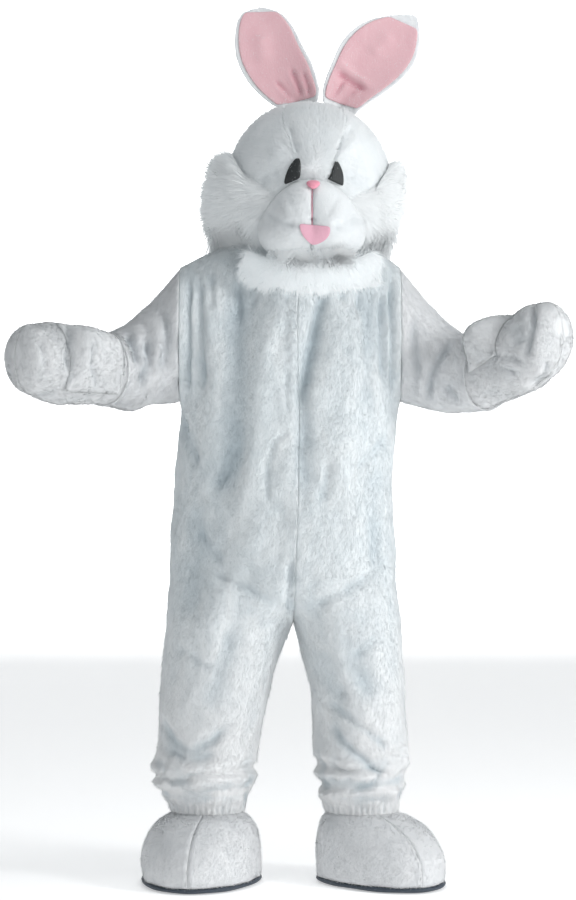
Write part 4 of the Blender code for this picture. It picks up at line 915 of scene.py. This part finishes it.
# Eyes
# Black mesh that the wearer looks through, sewn flat over holes in the face.
EYE_MESH = bpy.data.materials.new("black eye mesh")
EYE_MESH.use_nodes = True
eye_nodes, eye_links = EYE_MESH.node_tree.nodes, EYE_MESH.node_tree.links
eye_shader = eye_nodes["Principled BSDF"]
eye_place = eye_nodes.new("ShaderNodeTexCoord")
eye_cells = eye_nodes.new("ShaderNodeTexVoronoi")
eye_cells.inputs["Scale"].default_value = 620
eye_cells.inputs["Randomness"].default_value = 0.15
eye_links.new(eye_place.outputs["Object"], eye_cells.inputs["Vector"])
eye_tones = eye_nodes.new("ShaderNodeMix")
eye_tones.data_type = "RGBA"
eye_tones.inputs["A"].default_value = (0.002, 0.003, 0.003, 1)
eye_tones.inputs["B"].default_value = (0.022, 0.028, 0.030, 1)
eye_links.new(eye_cells.outputs["Distance"], eye_tones.inputs["Factor"])
eye_links.new(eye_tones.outputs["Result"], eye_shader.inputs["Base Color"])
eye_bump = eye_nodes.new("ShaderNodeBump")
eye_bump.inputs["Distance"].default_value = 0.0006
eye_links.new(eye_cells.outputs["Distance"], eye_bump.inputs["Height"])
eye_links.new(eye_bump.outputs["Normal"], eye_shader.inputs["Normal"])
eye_shader.inputs["Roughness"].default_value = 0.42
for hand in ("right", "left"):
    eye = cloth_on(f"eye_{hand}", 0.0001, 2)
    finish_piece(eye, EYE_MESH)

# Nose and mouth
# The nose is a small stuffed triangle of pink satin. The mouth is pink felt, cut as an open
# smile and sewn flat on the muzzle.
NOSE_SATIN = plush_material(
    "pink satin", (0.87, 0.36, 0.45), (0.80, 0.30, 0.40), patch=0.02, contrast=0.5, sheen=0.2, bump=0.0003
)
NOSE_SATIN.node_tree.nodes["Map Range"].inputs["To Min"].default_value = 0.45
NOSE_SATIN.node_tree.nodes["Map Range"].inputs["To Max"].default_value = 0.32
MOUTH_FELT = plush_material(
    "pink felt", (0.80, 0.46, 0.55), (0.72, 0.38, 0.48), patch=0.012, contrast=0.5, sheen=0.3, bump=0.0006
)
nose = cloth_on("nose", 0.0001, 2)
finish_piece(nose, NOSE_SATIN)
mouth = cloth_on("mouth", 0.0001, 2)
finish_piece(mouth, MOUTH_FELT)

# Ears
# White plush at the back and over the edge, a smooth pink lining in front, with a little
# padding between. Both are gathered together where they are sewn to the crown.
EAR_PLUSH = plush_material("ear plush", (0.91, 0.915, 0.92), (0.78, 0.81, 0.83), patch=0.030, contrast=0.7)
# The lining's deep red crease colour is painted shade in the gathers at its base.
EAR_PINK = plush_material(
    "pink ear lining", (0.76, 0.50, 0.53), (0.68, 0.40, 0.44), patch=0.035, contrast=0.5, sheen=0.45, bump=0.0008,
    fold_shade=(0.50, 0.15, 0.21),
)
EAR_CREASES = {
    WEARER_RIGHT: (
        (0.0050, 0.0050, ((0.028, 0.362), (0.020, 0.392), (0.002, 0.440))),
        (0.0045, 0.0045, ((0.008, 0.356), (-0.012, 0.384), (-0.035, 0.412))),
        (0.0040, 0.0040, ((0.045, 0.366), (0.043, 0.392), (0.030, 0.430))),
        (0.0035, 0.0035, ((-0.004, 0.352), (-0.030, 0.372))),
        (0.0200, -0.0050, ((-0.060, 0.450), (-0.070, 0.520))),
    ),
    WEARER_LEFT: (
        (0.0045, -0.0060, ((0.112, 0.450), (0.145, 0.425), (0.190, 0.392))),
        (0.0075, 0.0060, ((0.108, 0.432), (0.140, 0.408), (0.178, 0.382))),
        (0.0045, 0.0045, ((0.100, 0.360), (0.112, 0.385), (0.128, 0.410))),
        (0.0045, 0.0045, ((0.122, 0.354), (0.138, 0.372), (0.155, 0.384))),
        (0.0200, -0.0040, ((0.190, 0.470), (0.240, 0.520))),
    ),
}


def up_ear(side):
    return lambda places: np.broadcast_to(unit(np.array((side * 0.5, 0.0, 1.0))), places.shape)


for side, hand in ((WEARER_RIGHT, "right"), (WEARER_LEFT, "left")):
    for node, material, slot in (
        (f"ear_{hand}_back", EAR_PLUSH, "plush"),
        (f"ear_{hand}_lining", EAR_PINK, "ear_lining"),
    ):
        ear = cloth_on(node, 0.0001, 2)
        rest = points_of(ear)
        depths = pressed(rest, np.zeros(len(rest)), EAR_CREASES[side], 1.0)
        flat = soft((rest[:, 2] - 0.36) / 0.03)
        move_points(ear, rest + (depths * flat)[:, None] * np.array((0.0, 1.0, 0.0)))
        paint_fold_shade(ear, 1.6 * depths * flat)
        finish_piece(ear, material)
        if slot == "plush":
            pile(ear, 8000, 0.0085, 0.0014, 0.9, up_ear(side), None, EAR_PLUSH, 121 + side)

# Feet
# Padded plush uppers in two halves over a foam shoe, joined by a seam over the toe, with a
# collar that slips under the suit's elastic hem.
FOOT_WALL = 0.006
FOOT_MIDDLES = {WEARER_RIGHT: np.array((-0.203, -0.055, -1.40)), WEARER_LEFT: np.array((0.212, -0.050, -1.40))}
FOOT_PLUSH = plush_material("foot plush", (0.85, 0.855, 0.86), (0.72, 0.74, 0.755), patch=0.040, contrast=0.6)
for side, hand in ((WEARER_RIGHT, "right"), (WEARER_LEFT, "left")):

    def foot_outward(places, side=side):
        return unit((places - FOOT_MIDDLES[side]) * np.array((1, 0.8, 1)))

    for part in ("inner", "outer"):
        upper = cloth_on(f"foot_{hand}_{part}", FOOT_WALL, 2)
        rest = points_of(upper)
        out = foot_outward(rest)
        loose = soft((-1.315 - rest[:, 2]) / 0.03)
        move_points(upper, rest + (loose * rumpled(rest, 0.050, 0.0035, 15 + side))[:, None] * out)
        finish_piece(upper, FOOT_PLUSH)
        pile(
            upper, 8000, 0.0085, 0.0016, 0.45,
            lambda places: unit(np.array((0.0, -0.5, -1.0)) + 0 * places),
            foot_outward, FOOT_PLUSH, 141 + side,
        )

# Soles
# A flat sheet of dark, rubbery fabric with a turned-up edge, sewn round the foot.
SOLE_RUBBER = bpy.data.materials.new("dark slate sole")
SOLE_RUBBER.use_nodes = True
sole_nodes, sole_links = SOLE_RUBBER.node_tree.nodes, SOLE_RUBBER.node_tree.links
sole_shader = sole_nodes["Principled BSDF"]
sole_place = sole_nodes.new("ShaderNodeTexCoord")
sole_grain = sole_nodes.new("ShaderNodeTexNoise")
sole_grain.inputs["Scale"].default_value = 260
sole_links.new(sole_place.outputs["Object"], sole_grain.inputs["Vector"])
sole_tones = sole_nodes.new("ShaderNodeMix")
sole_tones.data_type = "RGBA"
sole_tones.inputs["A"].default_value = (0.020, 0.030, 0.045, 1)
sole_tones.inputs["B"].default_value = (0.060, 0.080, 0.105, 1)
sole_links.new(sole_grain.outputs["Fac"], sole_tones.inputs["Factor"])
sole_links.new(sole_tones.outputs["Result"], sole_shader.inputs["Base Color"])
sole_bump = sole_nodes.new("ShaderNodeBump")
sole_bump.inputs["Distance"].default_value = 0.0008
sole_links.new(sole_grain.outputs["Fac"], sole_bump.inputs["Height"])
sole_links.new(sole_bump.outputs["Normal"], sole_shader.inputs["Normal"])
sole_shader.inputs["Roughness"].default_value = 0.62
for hand in ("right", "left"):
    sole = cloth_on(f"foot_{hand}_sole", 0.0001, 2)
    finish_piece(sole, SOLE_RUBBER)

# Studio
# A pale sweep of floor and backdrop, one large soft light in front and paler ones beside it,
# and a long lens straight ahead of the costume at its mid height.
VIEW_X = -0.0047
VIEW_Z = -0.4563
VIEW_DISTANCE = 7.0
VIEW_HEIGHT = 2.106
FLOOR_Z = cad_low.z
SENSOR = 36.0

bpy.ops.object.select_all(action="DESELECT")
bpy.ops.mesh.primitive_plane_add(size=40, location=(0, 0, FLOOR_Z - 0.0008))
floor = bpy.context.object
floor.name = "studio_floor"
bpy.ops.object.mode_set(mode="EDIT")
bpy.ops.mesh.select_all(action="DESELECT")
bpy.ops.object.mode_set(mode="OBJECT")
for edge in floor.data.edges:
    edge.select = all(floor.data.vertices[index].co.y > 0 for index in edge.vertices)
bpy.ops.object.mode_set(mode="EDIT")
bpy.ops.mesh.select_mode(type="EDGE")
bpy.ops.mesh.extrude_region_move(TRANSFORM_OT_translate={"value": (0, 0, 16)})
bpy.ops.mesh.select_all(action="DESELECT")
bpy.ops.object.mode_set(mode="OBJECT")
sweep = floor.modifiers.new("sweep", "BEVEL")
sweep.width = 5.0
sweep.segments = 16
sweep.limit_method = "ANGLE"
bpy.ops.object.modifier_apply(modifier=sweep.name)
floor.data.shade_smooth()
paper = bpy.data.materials.new("white paper")
paper.use_nodes = True
paper.node_tree.nodes["Principled BSDF"].inputs["Base Color"].default_value = (0.93, 0.93, 0.93, 1)
paper.node_tree.nodes["Principled BSDF"].inputs["Roughness"].default_value = 1.0
paper.node_tree.nodes["Principled BSDF"].inputs["Emission Color"].default_value = (1, 1, 1, 1)
paper.node_tree.nodes["Principled BSDF"].inputs["Emission Strength"].default_value = 0.42
floor.data.materials.append(paper)

LIGHTS = (
    ("front_light", (4.2, -2.8, 1.2), 1.3, 120),
    ("side_light", (4.2, -0.8, -0.6), 1.6, 30),
    ("low_light", (1.9, -4.8, -0.7), 2.4, 30),
    ("left_light", (-4.2, -1.6, 0.4), 2.4, 11),
    ("top_light", (0.2, -0.9, 3.4), 1.6, 36),
    ("back_light", (0.0, 12.0, 5.6), 6.0, 1300),
)
AIM = Vector((0, 0, -0.4))
BACKDROP_AIM = Vector((0, 20, 0))
for name, place, size, power in LIGHTS:
    bpy.ops.object.light_add(type="AREA", location=place)
    lamp = bpy.context.object
    lamp.name = name
    lamp.data.size = size
    lamp.data.energy = power
    aim = BACKDROP_AIM if name == "back_light" else AIM
    lamp.rotation_euler = (aim - Vector(place)).to_track_quat("-Z", "Y").to_euler()
world = bpy.data.worlds.new("studio")
bpy.context.scene.world = world
world.use_nodes = True
world.node_tree.nodes["Background"].inputs["Color"].default_value = (0.88, 0.95, 1.0, 1)
world.node_tree.nodes["Background"].inputs["Strength"].default_value = 0.25
bpy.context.scene.view_settings.view_transform = "Standard"

bpy.ops.object.camera_add(location=(VIEW_X, -VIEW_DISTANCE, VIEW_Z), rotation=(math.pi / 2, 0, 0))
camera = bpy.context.object
camera.data.sensor_width = SENSOR
camera.data.lens = SENSOR * VIEW_DISTANCE / VIEW_HEIGHT
bpy.context.scene.camera = camera
